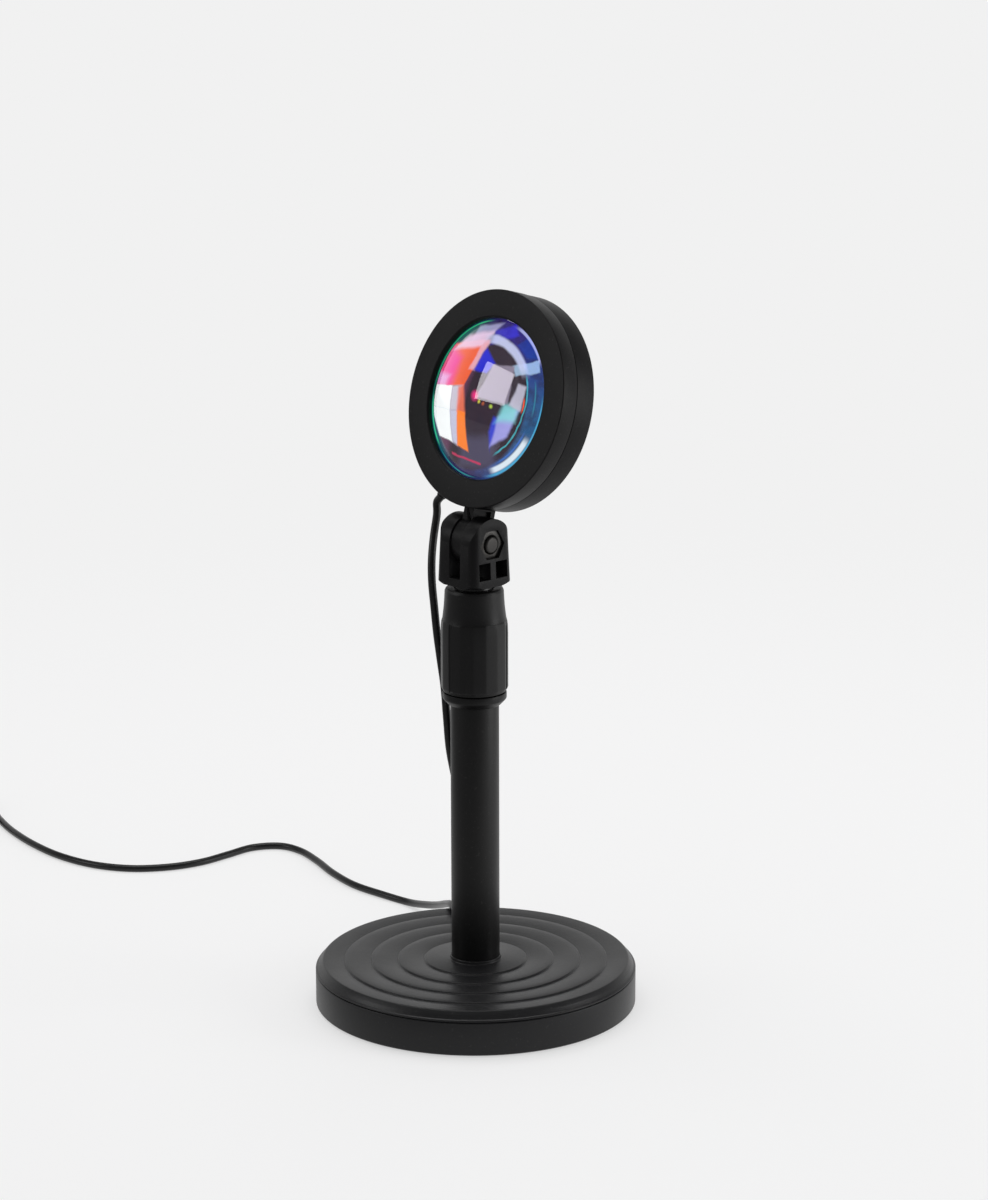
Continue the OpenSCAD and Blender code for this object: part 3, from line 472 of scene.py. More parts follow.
def head_mm(tree):
    """Object coordinates carried into the head's own space, in mm"""
    where = add(tree, "TexCoord").outputs["Object"]
    back = Matrix.Rotation(-HEAD_TURN, 3, "X")
    made = add(tree, "Mapping", Vector=where, Location=-(back @ HEAD_MIDDLE),
               Rotation=(-HEAD_TURN, 0, 0), Scale=(1 / MM,) * 3)
    return made.outputs["Vector"]


def make_facet_group():
    """A four-cornered patch of light. Each side is a line whose dot product with the
    point (x, y, 1) is the depth inside it, in mm."""
    sides = ("Left side", "Right side", "Upper side", "Lower side")
    group, given, results = new_group(
        "light_facet", {"Point": "Vector", **{side: "Vector" for side in sides},
                        "Softness": "Float"}, {"Mask": "Float"})
    inside = None
    for side in sides:
        depth = vectors(group, "DOT_PRODUCT", given["Point"], given[side])
        inside = depth if inside is None else sums(group, "MINIMUM", inside, depth)
    inner = product(group, given["Softness"], 0.5)
    outer = product(group, given["Softness"], -0.5)
    feed(group, results["Mask"], ramp_of(group, inside, outer, inner))
    return group


def side_lines(corners):
    """The four sides of a patch whose corners run anticlockwise"""
    lines = []
    for i, (x, y) in enumerate(corners):
        to_x, to_y = corners[(i + 1) % 4]
        length = sqrt((to_x - x) ** 2 + (to_y - y) ** 2)
        across = ((y - to_y) / length, (to_x - x) / length)
        lines.append((*across, -across[0] * x - across[1] * y))
    return lines


def make_arc_group():
    """An arc of light: a ring of some radius and width between two angles, in degrees"""
    group, given, results = new_group(
        "light_arc",
        {"Point": "Vector", "Middle": "Vector", "Radius": "Float", "Width": "Float",
         "Start": "Float", "End": "Float", "Fade": "Float"}, {"Mask": "Float"})
    reach = vectors(group, "SUBTRACT", given["Point"], given["Middle"])
    parts = add(group, "SeparateXYZ", Vector=reach).outputs
    off = sums(group, "ABSOLUTE", less(group, vectors(group, "LENGTH", reach),
                                       given["Radius"]))
    band = ramp_of(group, off, product(group, given["Width"], 0.5),
                   product(group, given["Width"], 0.2))
    turn = product(group, sums(group, "ARCTAN2", parts["Y"], parts["X"]), 180 / pi)
    first = ramp_of(group, turn, given["Start"],
                    total(group, given["Start"], given["Fade"]))
    last = ramp_of(group, turn, given["End"], less(group, given["End"], given["Fade"]))
    feed(group, results["Mask"], product(group, band, product(group, first, last)))
    return group


FACET = make_facet_group()
ARC = make_arc_group()

# Painted reflections of the studio's lights that the dichroic filter shows, which also glow, laid
# on in this order: four corners in mm from the lens axis, edge softness, colour and strength
PAINTED_REFLECTION_FACETS = (
    # Dim grounds at the left and below
    (((-29, -9), (-16, -22), (-9, 8), (-22, 18)), 4.0, (0.10, 0.02, 0.07), 1.0),
    (((-10, -25), (8, -24), (7, -12), (-9, -14)), 5.0, (0.055, 0.045, 0.09), 1.0),
    # Upper left: grey, orange, pink, lilac and two pale bands
    (((-14.5, 18.5), (-4.1, 22.5), (-1.3, 27.1), (-12.3, 24.6)), 1.6, (0.30, 0.28, 0.42), 1.0),
    (((-29.5, 1.5), (-12.2, 2.6), (-4.8, 20.2), (-24.0, 17.0)), 0.9, (0.88, 0.095, 0.012), 1.0),
    (((-29.5, 1.6), (-19.2, 1.6), (-16.5, 12.0), (-23.5, 17.0)), 5.0, (0.90, 0.012, 0.32), 0.95),
    (((-29.5, 1.5), (-22.6, 1.5), (-20.6, 5.5), (-29.0, 6.5)), 3.0, (0.80, 0.42, 0.78), 0.8),
    (((-22.5, 15.0), (-7.5, 17.2), (-4.1, 23.5), (-16.0, 20.8)), 2.2, (0.86, 0.60, 0.80), 0.85),
    (((-11.5, 8.8), (-8.8, 8.8), (-4.4, 19.4), (-7.4, 19.4)), 1.2, (0.80, 0.42, 0.52), 0.8),
    # Left: a white window, its grey edge and the orange beside it
    (((-29.3, 1.7), (-29.3, -6.0), (-17.2, -6.0), (-17.9, 2.3)), 0.7, (1.0, 1.0, 1.0), 1.0),
    (((-29.3, -5.9), (-21.6, -16.0), (-13.8, -16.8), (-17.2, -5.9)), 0.8, (1.0, 1.0, 1.0), 1.0),
    (((-17.9, 2.2), (-17.2, -6.0), (-12.9, -5.6), (-12.6, 2.7)), 1.4, (0.62, 0.56, 0.66), 0.95),
    (((-17.2, -5.9), (-13.9, -16.6), (-11.0, -17.6), (-12.9, -5.5)), 1.4, (0.62, 0.60, 0.78), 0.9),
    (((-14.4, 2.0), (-13.4, -6.0), (-9.4, -6.0), (-12.0, 3.0)), 1.6, (0.85, 0.15, 0.07), 0.9),
    (((-13.3, -5.6), (-11.2, -17.6), (-5.4, -19.0), (-9.4, -5.6)), 0.9, (1.0, 0.21, 0.01), 1.0),
    # Blues round the top
    (((-9.0, 9.0), (-2.8, 8.5), (0.2, 12.2), (-5.3, 17.0)), 1.3, (0.006, 0.010, 0.58), 1.0),
    (((-4.3, 18.5), (7.4, 23.5), (5.0, 27.5), (-3.7, 23.6)), 1.6, (0.022, 0.013, 0.36), 1.0),
    (((8.2, 19.8), (13.2, 16.4), (19.5, 16.8), (12.6, 24.5)), 1.4, (0.004, 0.022, 0.17), 1.0),
    # Lower right: blue, violet, turquoise, grey
    (((4.3, -5.5), (3.0, -10.6), (4.6, -16.2), (7.6, -6.0)), 1.6, (0.02, 0.04, 0.62), 0.9),
    (((4.6, -15.8), (11.5, -11.5), (14.9, -1.0), (6.2, -5.2)), 1.6, (0.34, 0.32, 0.74), 0.95),
    (((5.6, -7.0), (13.6, -6.0), (14.2, -0.8), (8.0, -0.8)), 3.0, (0.22, 0.62, 0.66), 0.9),
    (((10.2, -1.0), (15.2, -2.0), (16.0, 6.6), (12.2, 7.0)), 1.2, (0.52, 0.48, 0.60), 0.9),
    # A thin red line below
    (((-13.6, -21.2), (1.2, -23.0), (1.2, -22.3), (-13.6, -20.4)), 0.5, (0.55, 0.02, 0.09), 0.9),
    # A pale bar at the right, and the plum patch behind the mirrored window
    (((10.5, 9.2), (20.5, 12.3), (19.0, 16.4), (8.0, 12.6)), 0.8, (0.42, 0.58, 0.80), 0.75),
    (((-5.1, 0.0), (9.5, -0.8), (9.0, 12.6), (-0.4, 11.9)), 0.8, (0.26, 0.21, 0.29), 0.9),
)
# Painted reflection arcs: middle, radius, width, start and end in degrees, fade, colour and
# strength
PAINTED_REFLECTION_ARCS = (
    ((-3.8, -0.5, 1), 21.2, 4.4, 24, 104, 18, (0.60, 0.62, 0.88), 0.85),
    ((0, 0, 1), 16.2, 1.0, -12, 12, 8, (1.0, 0.10, 0.03), 0.9),
    ((-5.7, 0.6, 1), 22.9, 0.9, -60, 28, 10, (0.05, 0.42, 0.50), 0.8),
)
# Round spots of painted reflection, which glow: middle, radius, colour and strength
PAINTED_GLOW_SPOTS = (
    ((-5.9, 0.3, 1), 2.4, (0.90, 0.02, 0.22), 0.95),
    ((-3.6, -1.3, 1), 1.0, (0.85, 0.75, 0.05), 0.9),
    ((-1.4, -1.9, 1), 1.1, (0.55, 0.10, 0.02), 0.8),
    ((2.3, -2.4, 1), 1.1, (0.55, 0.72, 0.06), 0.9),
)


def glass_filter():
    """The dichroic filter: dark glass with sharp-edged patches of painted reflection, which its
    emission makes glow
    """
    tree, sockets = new_finish("filter_glass", Emission_Strength=1.08, Roughness=0.2,
                               Specular_IOR_Level=0.25)
    point = head_mm(tree)
    parts = add(tree, "SeparateXYZ", Vector=point).outputs
    wobble = noise(tree, vectors(tree, "MULTIPLY", point, (0.16, 0.16, 0.0)), 1.0, 2.0)
    shift = swing(tree, wobble, 1.6)
    bent = add(tree, "CombineXYZ", X=total(tree, parts["X"], shift),
               Y=less(tree, parts["Y"], shift), Z=1.0).outputs[0]
    colour = blended(tree, wobble, (0.006, 0.004, 0.018, 1), (0.026, 0.004, 0.012, 1))
    # Each patch paints a reflection of the studio's lights into the filter's colour
    for corners, soft, tint, strength in PAINTED_REFLECTION_FACETS:
        left, right, upper, lower = side_lines(corners)
        mask = placed(tree, FACET, Point=bent, Left_side=left, Right_side=right,
                      Upper_side=upper, Lower_side=lower, Softness=soft)["Mask"]
        colour = painted(tree, mask, strength, colour, tint)
    for middle, radius, width, start, end, fade, tint, strength in PAINTED_REFLECTION_ARCS:
        mask = placed(tree, ARC, Point=bent, Middle=middle, Radius=radius, Width=width,
                      Start=start, End=end, Fade=fade)["Mask"]
        colour = painted(tree, mask, strength, colour, tint)
    for middle, radius, tint, strength in PAINTED_GLOW_SPOTS:
        off = vectors(tree, "LENGTH", vectors(tree, "SUBTRACT", bent, middle))
        colour = painted(tree, ramp_of(tree, off, radius, 0.0), strength, colour, tint)
    # The painted reflections also colour the base, darkened
    feed(tree, sockets["Base Color"], blended(tree, 0.7, colour, (0.004, 0.003, 0.006, 1)))
    # The painted reflections glow; mirrored inside the lens, that glow would veil it, so it stops
    # there
    bounces = add(tree, "LightPath").outputs["Glossy Depth"]
    feed(tree, sockets["Emission Color"],
         blended(tree, sums(tree, "MINIMUM", bounces, 1.0), colour, BLACK))
    feed(tree, sockets["Normal"], bump(tree, noise(tree, point, 2.5, 3.0), 0.01))


# Painted reflections on the lens's rim, which glow: colours by angle from the head's right, as
# (degrees, colour)
PAINTED_RIM_REFLECTION_COLOURS = (
    (-180, (0.006, 0.10, 0.075)), (-150, (0.004, 0.07, 0.085)), (-122, (0.003, 0.02, 0.10)),
    (-92, (0.004, 0.006, 0.075)), (-66, (0.010, 0.09, 0.30)), (-30, (0.006, 0.10, 0.24)),
    (0, (0.004, 0.10, 0.26)), (22, (0.006, 0.06, 0.26)), (48, (0.006, 0.016, 0.17)),
    (72, (0.012, 0.010, 0.22)), (96, (0.008, 0.010, 0.10)), (122, (0.004, 0.05, 0.07)),
    (152, (0.005, 0.12, 0.08)), (180, (0.006, 0.10, 0.075)))
# Painted reflections and painted highlights on the rim, as bands and bright lines: radius, width,
# start, end, fade, colour
PAINTED_RIM_REFLECTION_LINES = (
    (27.0, 4.2, 98, 172, 24, (0.003, 0.12, 0.10)),
    (27.0, 4.0, -174, -112, 20, (0.003, 0.10, 0.13)),
    (28.7, 0.9, 96, 179.9, 14, (0.03, 0.50, 0.22)),
    (28.4, 1.5, -180, -132, 12, (0.05, 0.66, 0.34)),
    (28.7, 0.8, -140, -84, 16, (0.02, 0.28, 0.30)),
    (26.9, 2.6, -73, -22, 9, (0.80, 0.93, 1.0)),
    (28.4, 1.2, -80, 12, 16, (0.05, 0.42, 0.70)),
    (25.2, 0.9, -64, -18, 12, (0.03, 0.16, 0.55)),
    (28.5, 1.4, 30, 76, 10, (0.42, 0.46, 0.85)),
    (25.6, 0.7, -10, 24, 10, (0.01, 0.22, 0.34)),
)


# The clear middle lies a little off the lens axis, and the rim's painted reflections fade in round
# it, in mm
CLEAR_MIDDLE, RIM_FROM, RIM_TO = (-2.5, -1.0, 0.0), 24.6, 26.2


def painted_rim_reflections(tree, parts):
    """The rim's painted reflection colours as they change round the lens"""
    turn = sums(tree, "ARCTAN2", parts["Y"], parts["X"])
    ramp = add(tree, "ValToRGB", Fac=ramp_of(tree, turn, -pi, pi, smooth=False))
    steps = ramp.color_ramp.elements
    while len(steps) < len(PAINTED_RIM_REFLECTION_COLOURS):
        steps.new(0.5)
    for step, (angle, colour) in zip(steps, PAINTED_RIM_REFLECTION_COLOURS):
        step.position = (angle + 180) / 360
    for step, (angle, colour) in zip(steps, PAINTED_RIM_REFLECTION_COLOURS):
        step.color = (*colour, 1)
    return ramp.outputs["Color"]


def glass_lens():
    """Clear lens glass whose rim glows with painted reflections of the colours that the coating
    throws back
    """
    tree, sockets = new_finish(
        "lens_glass", Transmission_Weight=1.0, IOR=1.5, Roughness=0.015,
        Coat_IOR=2.1, Coat_Roughness=0.02, Specular_IOR_Level=0.25,
        Specular_Tint=(0.93, 0.84, 1.0, 1), Emission_Strength=0.9)
    point = head_mm(tree)
    parts = add(tree, "SeparateXYZ", Vector=point).outputs
    flat = add(tree, "CombineXYZ", X=parts["X"], Y=parts["Y"], Z=0.0).outputs[0]
    off = vectors(tree, "LENGTH", vectors(tree, "SUBTRACT", flat, CLEAR_MIDDLE))
    streak = noise(tree, vectors(tree, "MULTIPLY", flat, (0.3, 0.3, 0.0)), 1.0, 3.0)
    band = product(tree, ramp_of(tree, off, RIM_FROM, RIM_TO),
                   ramp_of(tree, streak, 0.25, 0.75, 0.55, 1.25))
    colour = blended(tree, band, BLACK, painted_rim_reflections(tree, parts))
    for radius, width, start, end, fade, tint in PAINTED_RIM_REFLECTION_LINES:
        mask = placed(tree, ARC, Point=flat, Middle=(0, 0, 0), Radius=radius, Width=width,
                      Start=start, End=end, Fade=fade)["Mask"]
        colour = blended(tree, mask, colour, (*tint, 1))
    # The coating works on the outside only, so that the glass stays dark within
    outside = less(tree, 1.0, add(tree, "NewGeometry").outputs["Backfacing"])
    feed(tree, sockets["Coat Weight"], product(tree, outside, 0.5))
    # The painted reflections and highlights glow from the outer face only
    above = product(tree, ramp_of(tree, parts["Z"], 4.5, 5.5), outside)
    feed(tree, sockets["Emission Color"], blended(tree, above, BLACK, colour))
    haze = noise(tree, point, 0.35, 2.0)
    feed(tree, sockets["Roughness"], ramp_of(tree, haze, 0.45, 0.8, 0.008, 0.035))
    feed(tree, sockets["Base Color"],
         blended(tree, haze, (0.93, 0.985, 0.99, 1), (0.97, 0.97, 1.0, 1)))


def foam():
    """Closed-cell foam: round cells that catch a little light"""
    tree, sockets = new_finish("foam_pad", Specular_IOR_Level=0.2)
    where = add(tree, "TexCoord").outputs["Object"]
    cells = add(tree, "TexVoronoi", {"feature": "SMOOTH_F1"}, Vector=where, Scale=1500.0)
    depth = cells.outputs["Distance"]
    colour = blended(tree, depth, (0.006, 0.006, 0.007, 1), (0.022, 0.022, 0.024, 1))
    cover(tree, sockets, colour, ramp_of(tree, depth, 0.0, 1.0, 0.98, 0.8), depth, 0.2)


def circuit_board():
    """White solder mask over faint tracks"""
    tree, sockets = new_finish("board_white", Coat_Weight=0.3)
    point = head_mm(tree)
    lines = add(tree, "TexBrick", {"offset": 0.5}, Vector=point, Scale=0.22,
                Mortar_Size=0.03, Mortar_Smooth=0.4).outputs["Fac"]
    colour = blended(tree, lines, (0.72, 0.73, 0.70, 1), (0.62, 0.64, 0.60, 1))
    rough = ramp_of(tree, noise(tree, point, 1.5, 3.0), 0.3, 0.7, 0.3, 0.5)
    cover(tree, sockets, colour, rough, lines, 0.03)


# Colour and roughness come first; a finish keeps its name as the slot of its pieces
moulded("base_plastic", (0.0095, 0.0095, 0.0105), 0.37, grain=2200.0, cloud=0.16,
        dust=0.03, relief=0.03, Specular_IOR_Level=0.36)
moulded("head_plastic", (0.0050, 0.0047, 0.0053), 0.43, grain=2800.0, cloud=0.10,
        dust=0.03, relief=0.03, Specular_IOR_Level=0.19)
moulded("grip_plastic", (0.0045, 0.0043, 0.0047), 0.42, grain=3000.0, cloud=0.12,
        dust=0.01, Specular_IOR_Level=0.32)
moulded("pole_paint", (0.0050, 0.0048, 0.0050), 0.42, grain=1500.0, cloud=0.10,
        dust=0.03, relief=0.012, Specular_IOR_Level=0.36)
moulded("inner_pole", (0.014, 0.014, 0.015), 0.28, grain=1700.0, cloud=0.10, dust=0.02,
        relief=0.008)
moulded("cord_jacket", (0.0070, 0.0070, 0.0075), 0.34, grain=1900.0, cloud=0.12,
        dust=0.04, relief=0.015, Specular_IOR_Level=0.42)
moulded("nylon", (0.62, 0.62, 0.58), 0.4, grain=1500.0, cloud=0.05,
        Subsurface_Weight=0.15)
moulded("chip_yellow", (0.82, 0.60, 0.10), 0.35, grain=4000.0, cloud=0.2,
        Coat_Weight=0.6)
moulded("receiver_epoxy", (0.012, 0.006, 0.018), 0.12, grain=900.0, cloud=0.03,
        relief=0.004)
moulded("lead_insulation", (0.34, 0.02, 0.02), 0.4, grain=2500.0, cloud=0.06)
moulded("plug_plastic", (0.60, 0.60, 0.58), 0.45, grain=2500.0, cloud=0.06)
metal("ballast_steel", (0.22, 0.22, 0.23), 0.5, lines=(900, 60, 900), stain=0.5)
metal("fastener_steel", (0.060, 0.058, 0.056), 0.40, lines=(2500, 2500, 2500),
      stain=0.35, relief=0.006)
metal("reflector_silver", (0.78, 0.79, 0.82), 0.14, lines=(900, 900, 900), stain=0.03,
      relief=0.002)
metal("spreader_aluminium", (0.60, 0.61, 0.62), 0.36, lines=(2600, 90, 2600), stain=0.1)
metal("plug_steel", (0.58, 0.58, 0.57), 0.24, lines=(5000, 300, 5000), stain=0.12)
metal("contact_gold", (0.80, 0.55, 0.20), 0.22, lines=(4000, 300, 4000), stain=0.08)
glass_lens()
glass_filter()
foam()
circuit_board()


def dress(piece, slot, body, *stands_for, space=None, smooth=None):
    """Brings a new piece from its own space to the lamp's, smooths its shading, gives it its
    finish and its body, and hides the CAD nodes that it stands for"""
    if space is not None:
        place(piece, space)
    if smooth:
        smooth_shading(piece, smooth)
    piece.data.materials.clear()
    piece.data.materials.append(FINISHES[slot])
    if body:
        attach(piece, body)
    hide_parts(*stands_for)
    return piece


# ---- The lead: one smooth curve from the head to the coil ----

CORD_R = 1.5
REAR_R, EXIT_TURN, EXIT_W, RELIEF_L = 39.5, radians(237), -3.4, 6.5
# The way down beside the pole to the base's top, then off it and over the table
HANG_ROUTE = (
    (-26.2, 5.5, 182), (-25.7, 3.4, 174), (-24, 0.8, 166), (-22.2, -0.8, 158),
    (-20.6, -1.2, 149), (-19.2, -1.2, 139), (-17.4, -1.1, 129), (-15.5, -1, 119),
    (-14.3, -0.9, 107), (-13.5, -0.3, 95), (-12.6, 2, 82), (-11.7, 4.6, 68),
    (-11.5, 6.9, 54), (-13.8, 10, 40.5), (-20.5, 15.1, 28.5), (-30, 21, 21.5),
    (-39, 26.2, 18.9), (-47.3, 30.8, 18.5))
FLOOR_ROUTE = (
    (-57, 36.8, 15), (-69, 43.6, 10), (-82, 49.4, 5.4), (-97.6, 53.4, 1.6),
    (-113, 52.2, 1.5), (-130, 51.8, 1.5), (-148, 55.5, 1.5), (-165, 61.2, 1.5),
    (-180, 64.8, 1.5), (-191.5, 63, 1.5), (-198, 53, 1.5), (-197.7, 39, 1.5),
    (-197.5, 25, 1.5), (-201.5, 11, 1.5), (-211, -2, 1.5), (-226, -10.4, 1.5),
    (-245, -13.6, 1.5), (-266, -12.3, 1.5), (-287, -8.2, 1.5), (-304, -2.8, 1.5))
COIL_MIDDLE = Vector((-335, -17, 0))
COIL_START = radians(67)
COIL_TURNS = 8 + 1 / 3
COIL_PITCH = 2 * CORD_R + 0.45
COIL_MIN_R = 18 - COIL_PITCH * COIL_TURNS / 4
COIL_LEAD = 6
TAIL_L = 15
PLUG_H = 7.6
RINGS_PER_SPAN, TAIL_RINGS, COIL_RINGS = 8, 4, 60


def spline_point(a, b, c, d, t):
    """One point of a smooth curve through four route points"""
    return 0.5 * (2 * b + (c - a) * t + (2 * a - 5 * b + 4 * c - d) * t * t
                  + (3 * b - a - 3 * c + d) * t * t * t)


def smooth_route(route, steps):
    """The whole curve through a route, with a number of rings to each span"""
    route = [Vector(p) for p in route]
    ends = [2 * route[0] - route[1], *route, 2 * route[-1] - route[-2]]
    path = [spline_point(*ends[i:i + 4], s / steps)
            for i in range(len(route) - 1) for s in range(steps)]
    return path + [route[-1]]


def coil_path():
    """Winds in on the table, climbs a layer while it turns back, and winds out again"""
    path = []
    for i in range(round(COIL_RINGS * COIL_TURNS) + 1):
        turn = i / COIL_RINGS
        radius = COIL_MIN_R + COIL_PITCH * abs(turn - COIL_TURNS / 2)
        climb = min(1, max(0, 2 * (turn - COIL_TURNS / 2) + 0.5))
        a = COIL_START + 2 * pi * turn
        path.append(COIL_MIDDLE + Vector((radius * cos(a), radius * sin(a),
                                          CORD_R + COIL_PITCH * climb)))
    return path


head_to_lamp = HEAD_SPACE.to_3x3()
exit_way = Vector((cos(EXIT_TURN), sin(EXIT_TURN), 0))
lead_exit = HEAD_MIDDLE + head_to_lamp @ (exit_way * (REAR_R + RELIEF_L)
                                          + Vector((0, 0, EXIT_W)))
exit_heading = head_to_lamp @ exit_way
coil_loops = coil_path()
coil_heading = Vector((-sin(COIL_START), cos(COIL_START), 0))
coil_gate = coil_loops[0] - COIL_LEAD * coil_heading
plug_turn = COIL_START + 2 * pi * COIL_TURNS + pi / 2
plug_heading = Vector((cos(plug_turn), sin(plug_turn), 0))
coil_out = coil_loops[-1] + COIL_LEAD * plug_heading
tail_end = coil_out + TAIL_L * plug_heading
tail_end.z = PLUG_H / 2

lead_route = [lead_exit, lead_exit + 2 * CORD_R * exit_heading, *HANG_ROUTE,
              *FLOOR_ROUTE, coil_gate - 2 * CORD_R * coil_heading, coil_gate]
lead_path = smooth_route(lead_route, RINGS_PER_SPAN)
tail_path = smooth_route([coil_out, coil_out + 2 * CORD_R * plug_heading,
                          (coil_out + tail_end) / 2,
                          tail_end - 2 * CORD_R * plug_heading, tail_end],
                         TAIL_RINGS)
# Where the lead's stretches meet, as route points counted from the relief's end
HEAD_CUT, MAST_CUT, BASE_CUT = 5, 12, 19


def lead_piece(name, path):
    """A round jacket along a path"""
    curve = bpy.data.curves.new(name, "CURVE")
    curve.dimensions = "3D"
    line = curve.splines.new("POLY")
    line.points.add(len(path) - 1)
    for point, at in zip(line.points, path):
        point.co = (*(at * MM), 1)
    curve.bevel_depth, curve.bevel_resolution = CORD_R * MM, 5
    curve.use_fill_caps = True
    piece = bpy.data.objects.new(name, curve)
    bpy.context.scene.collection.objects.link(piece)
    only(piece)
    bpy.ops.object.convert(target="MESH")
    return smooth_shading(bpy.context.object, 50)


def stretch(first, last):
    """The lead's points between two route points"""
    return lead_path[first * RINGS_PER_SPAN:last * RINGS_PER_SPAN + 1]


def build_lead():
    """The stretches from the head to the coil. The first three end where a joint moves, and are
    left without a body"""
    drops = (("lead_head_drop", 0, HEAD_CUT, "mast", "head", "cord_head_drop"),
             ("lead_mast_drop", HEAD_CUT, MAST_CUT, "collet", "mast", "cord_mast_drop"),
             ("lead_base_drop", MAST_CUT, BASE_CUT, "root", "collet", "cord_base_drop"))
    for name, first, last, lower, upper, node in drops:
        path = stretch(first, last)
        piece = dress(lead_piece(name, path), "cord_jacket", None, node)
        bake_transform(piece)
    path = stretch(BASE_CUT, len(lead_route) - 1)
    floor = dress(lead_piece("lead_floor", path), "cord_jacket", "root", "cord_floor")


build_lead()
# The wound length and its tail are one tube; the plug that it ends in is made later
coil_and_tail = [coil_gate, *coil_loops, coil_out, *tail_path[1:]]
coil = dress(lead_piece("lead_coil", coil_and_tail), "cord_jacket", "root", "cord_coil",
             "cord_tail")

# ---- Base and pole ----

BASE_R, BASE_TOP = 60, 16.9
STEPS_AT, STEP_DROP, STEP_DIP = (49.4, 39.4, 29.4, 19.4), 0.5, 0.12
POLE_R, POLE_FOOT, POLE_TOP = 9, 8.5, 124
POLE_BORE_R = 7.8
LOCK_R, LOCK_RIM_R, LOCK_TOP = 10, 11.85, 136
INNER_R, INNER_BORE_R = 7, 6
INNER_FOOT, FORK_Z = 17.9, 161.4


def build_base():
    """A round cover with a sloping shoulder over a lip and a notch. Its top has four
    small steps up towards the pole, each over a shallow dip."""
    # The outside from the foot up, as how far each point lies in, and its height
    outside = [(BASE_R - inset, height) for inset, height in (
        (2.4, 0.5), (0.5, 0.5), (0, 1.0), (0, 12.75), (0.25, 13.0), (0.7, 13.0),
        (0.7, 13.3), (0.15, 13.35), (0, 13.5), (0, 13.75), (0.2, 14.0), (0.7, 14.15),
        (1.5, 15.5), (2.4, 16.55), (2.75, 16.85), (3.1, BASE_TOP))]
    steps = [point for r in STEPS_AT for point in (
        (r + 7.0, BASE_TOP), (r + 3.0, BASE_TOP - STEP_DIP), (r + 0.1, BASE_TOP - STEP_DROP),
        (r - 0.1, BASE_TOP - STEP_DROP), (r - 0.45, BASE_TOP))]
    collar = [(9.75, BASE_TOP), (9.55, 17.2), (9.55, 18.0), (9.35, 18.2),
              (POLE_R + RUN_FIT, 18.2), (POLE_R + RUN_FIT, POLE_FOOT)]
    inside = [(3.2, POLE_FOOT), (3.2, 6.5), (13.05, 6.5), (13.65, 14.5), (56.6, 14.5),
              (57.6, 12.5)]
    profile = outside + steps + collar + inside
    dress(turned("base_cover", profile, 192, 0.12), "base_plastic", "root", "base_shell")


def build_pole():
    """The lower tube, the inner tube and the lock ring between them"""
    dress(plain_tube("pole_tube", POLE_BORE_R, POLE_R, POLE_FOOT, POLE_TOP, 128),
          "pole_paint", "root", "lower_tube")
    dress(plain_tube("inner_pole", INNER_BORE_R, INNER_R, INNER_FOOT, FORK_Z, 96),
          "inner_pole", "mast", "inner_tube")
    ring = turned("lock_ring", [
        (POLE_R + RUN_FIT, 115.7), (9.7, 115.7), (LOCK_RIM_R, 118), (LOCK_RIM_R, 120.4),
        (LOCK_R, 120.4), (LOCK_R, LOCK_TOP), (7.85, LOCK_TOP), (7.85, POLE_TOP),
        (POLE_R + RUN_FIT, POLE_TOP)], 128, 0.35)
    dress(ring, "grip_plastic", "root", "lock_collar")


# ---- Twist grip ----

PANEL_FOOT, PANEL_TOP, PANEL_R = 121.7, 147.7, 12.4
PANEL_GROOVES = (-88, 32, 152)
GRIP_STEPS = 240
FLUTE_STEPS = 15
FLUTE_DEPTH = 0.16
GROOVE_HALF_ANGLE, GROOVE_R = 3.8, 11.9


def angle_of(at):
    """Angle of a point round the pole, in degrees"""
    return atan2(at.y, at.x) * 180 / pi


def build_grip():
    """A sleeve that swells into three raised panels with broad shallow flutes, over a
    conical bore"""
    rings = [(PANEL_R, PANEL_FOOT + 0.6 + 20.4 * i / 6) for i in range(7)]
    profile = [
        (11.45, 120.7), (11.65, 120.95), (11.65, PANEL_FOOT), (12.1, PANEL_FOOT), *rings,
        (12.3, 145.6), (12.12, 147.2), (11.95, PANEL_TOP), (11.82, PANEL_TOP),
        (11.5, 150.2), (11.2, 152.8), (11.0, 155.6), (10.85, 158.6), (10.5, 159.4),
        (10.1, 159.7), (7.4, 159.7), (7.4, 151.8), (8.45, 151.8), (10.05, 137.8),
        (10.05, 120.7)]
    grip = turned("twist_grip", profile, GRIP_STEPS, 0.1)

    def on_panel(at):
        return PANEL_FOOT + 0.1 < at.z < PANEL_TOP - 0.05 and at.xy.length > 11.7

    def step_in_flute(at):
        return round(angle_of(at) * GRIP_STEPS / 360) % FLUTE_STEPS

    for step in range(1, FLUTE_STEPS):
        grow = 1 - FLUTE_DEPTH * sin(pi * step / FLUTE_STEPS) / PANEL_R
        choose(grip, "VERT", lambda at: on_panel(at) and step_in_flute(at) == step)
        scale_chosen(grow, grow)
    # Between the panels, each band of radii is drawn in to the groove
    for groove in PANEL_GROOVES:
        def in_groove(at):
            off = (angle_of(at) - groove + 180) % 360 - 180
            return on_panel(at) and abs(off) < GROOVE_HALF_ANGLE
        for low, high, radius in ((0, 12.02, 11.95), (12.02, 12.2, 12.13),
                                  (12.2, 20, 12.3)):
            choose(grip, "VERT", lambda at: in_groove(at) and low < at.xy.length <= high)
            scale_chosen(GROOVE_R / radius, GROOVE_R / radius)
    dress(grip, "grip_plastic", "grip", "grip_sleeve", smooth=20)


# ---- Fork and hinge ----

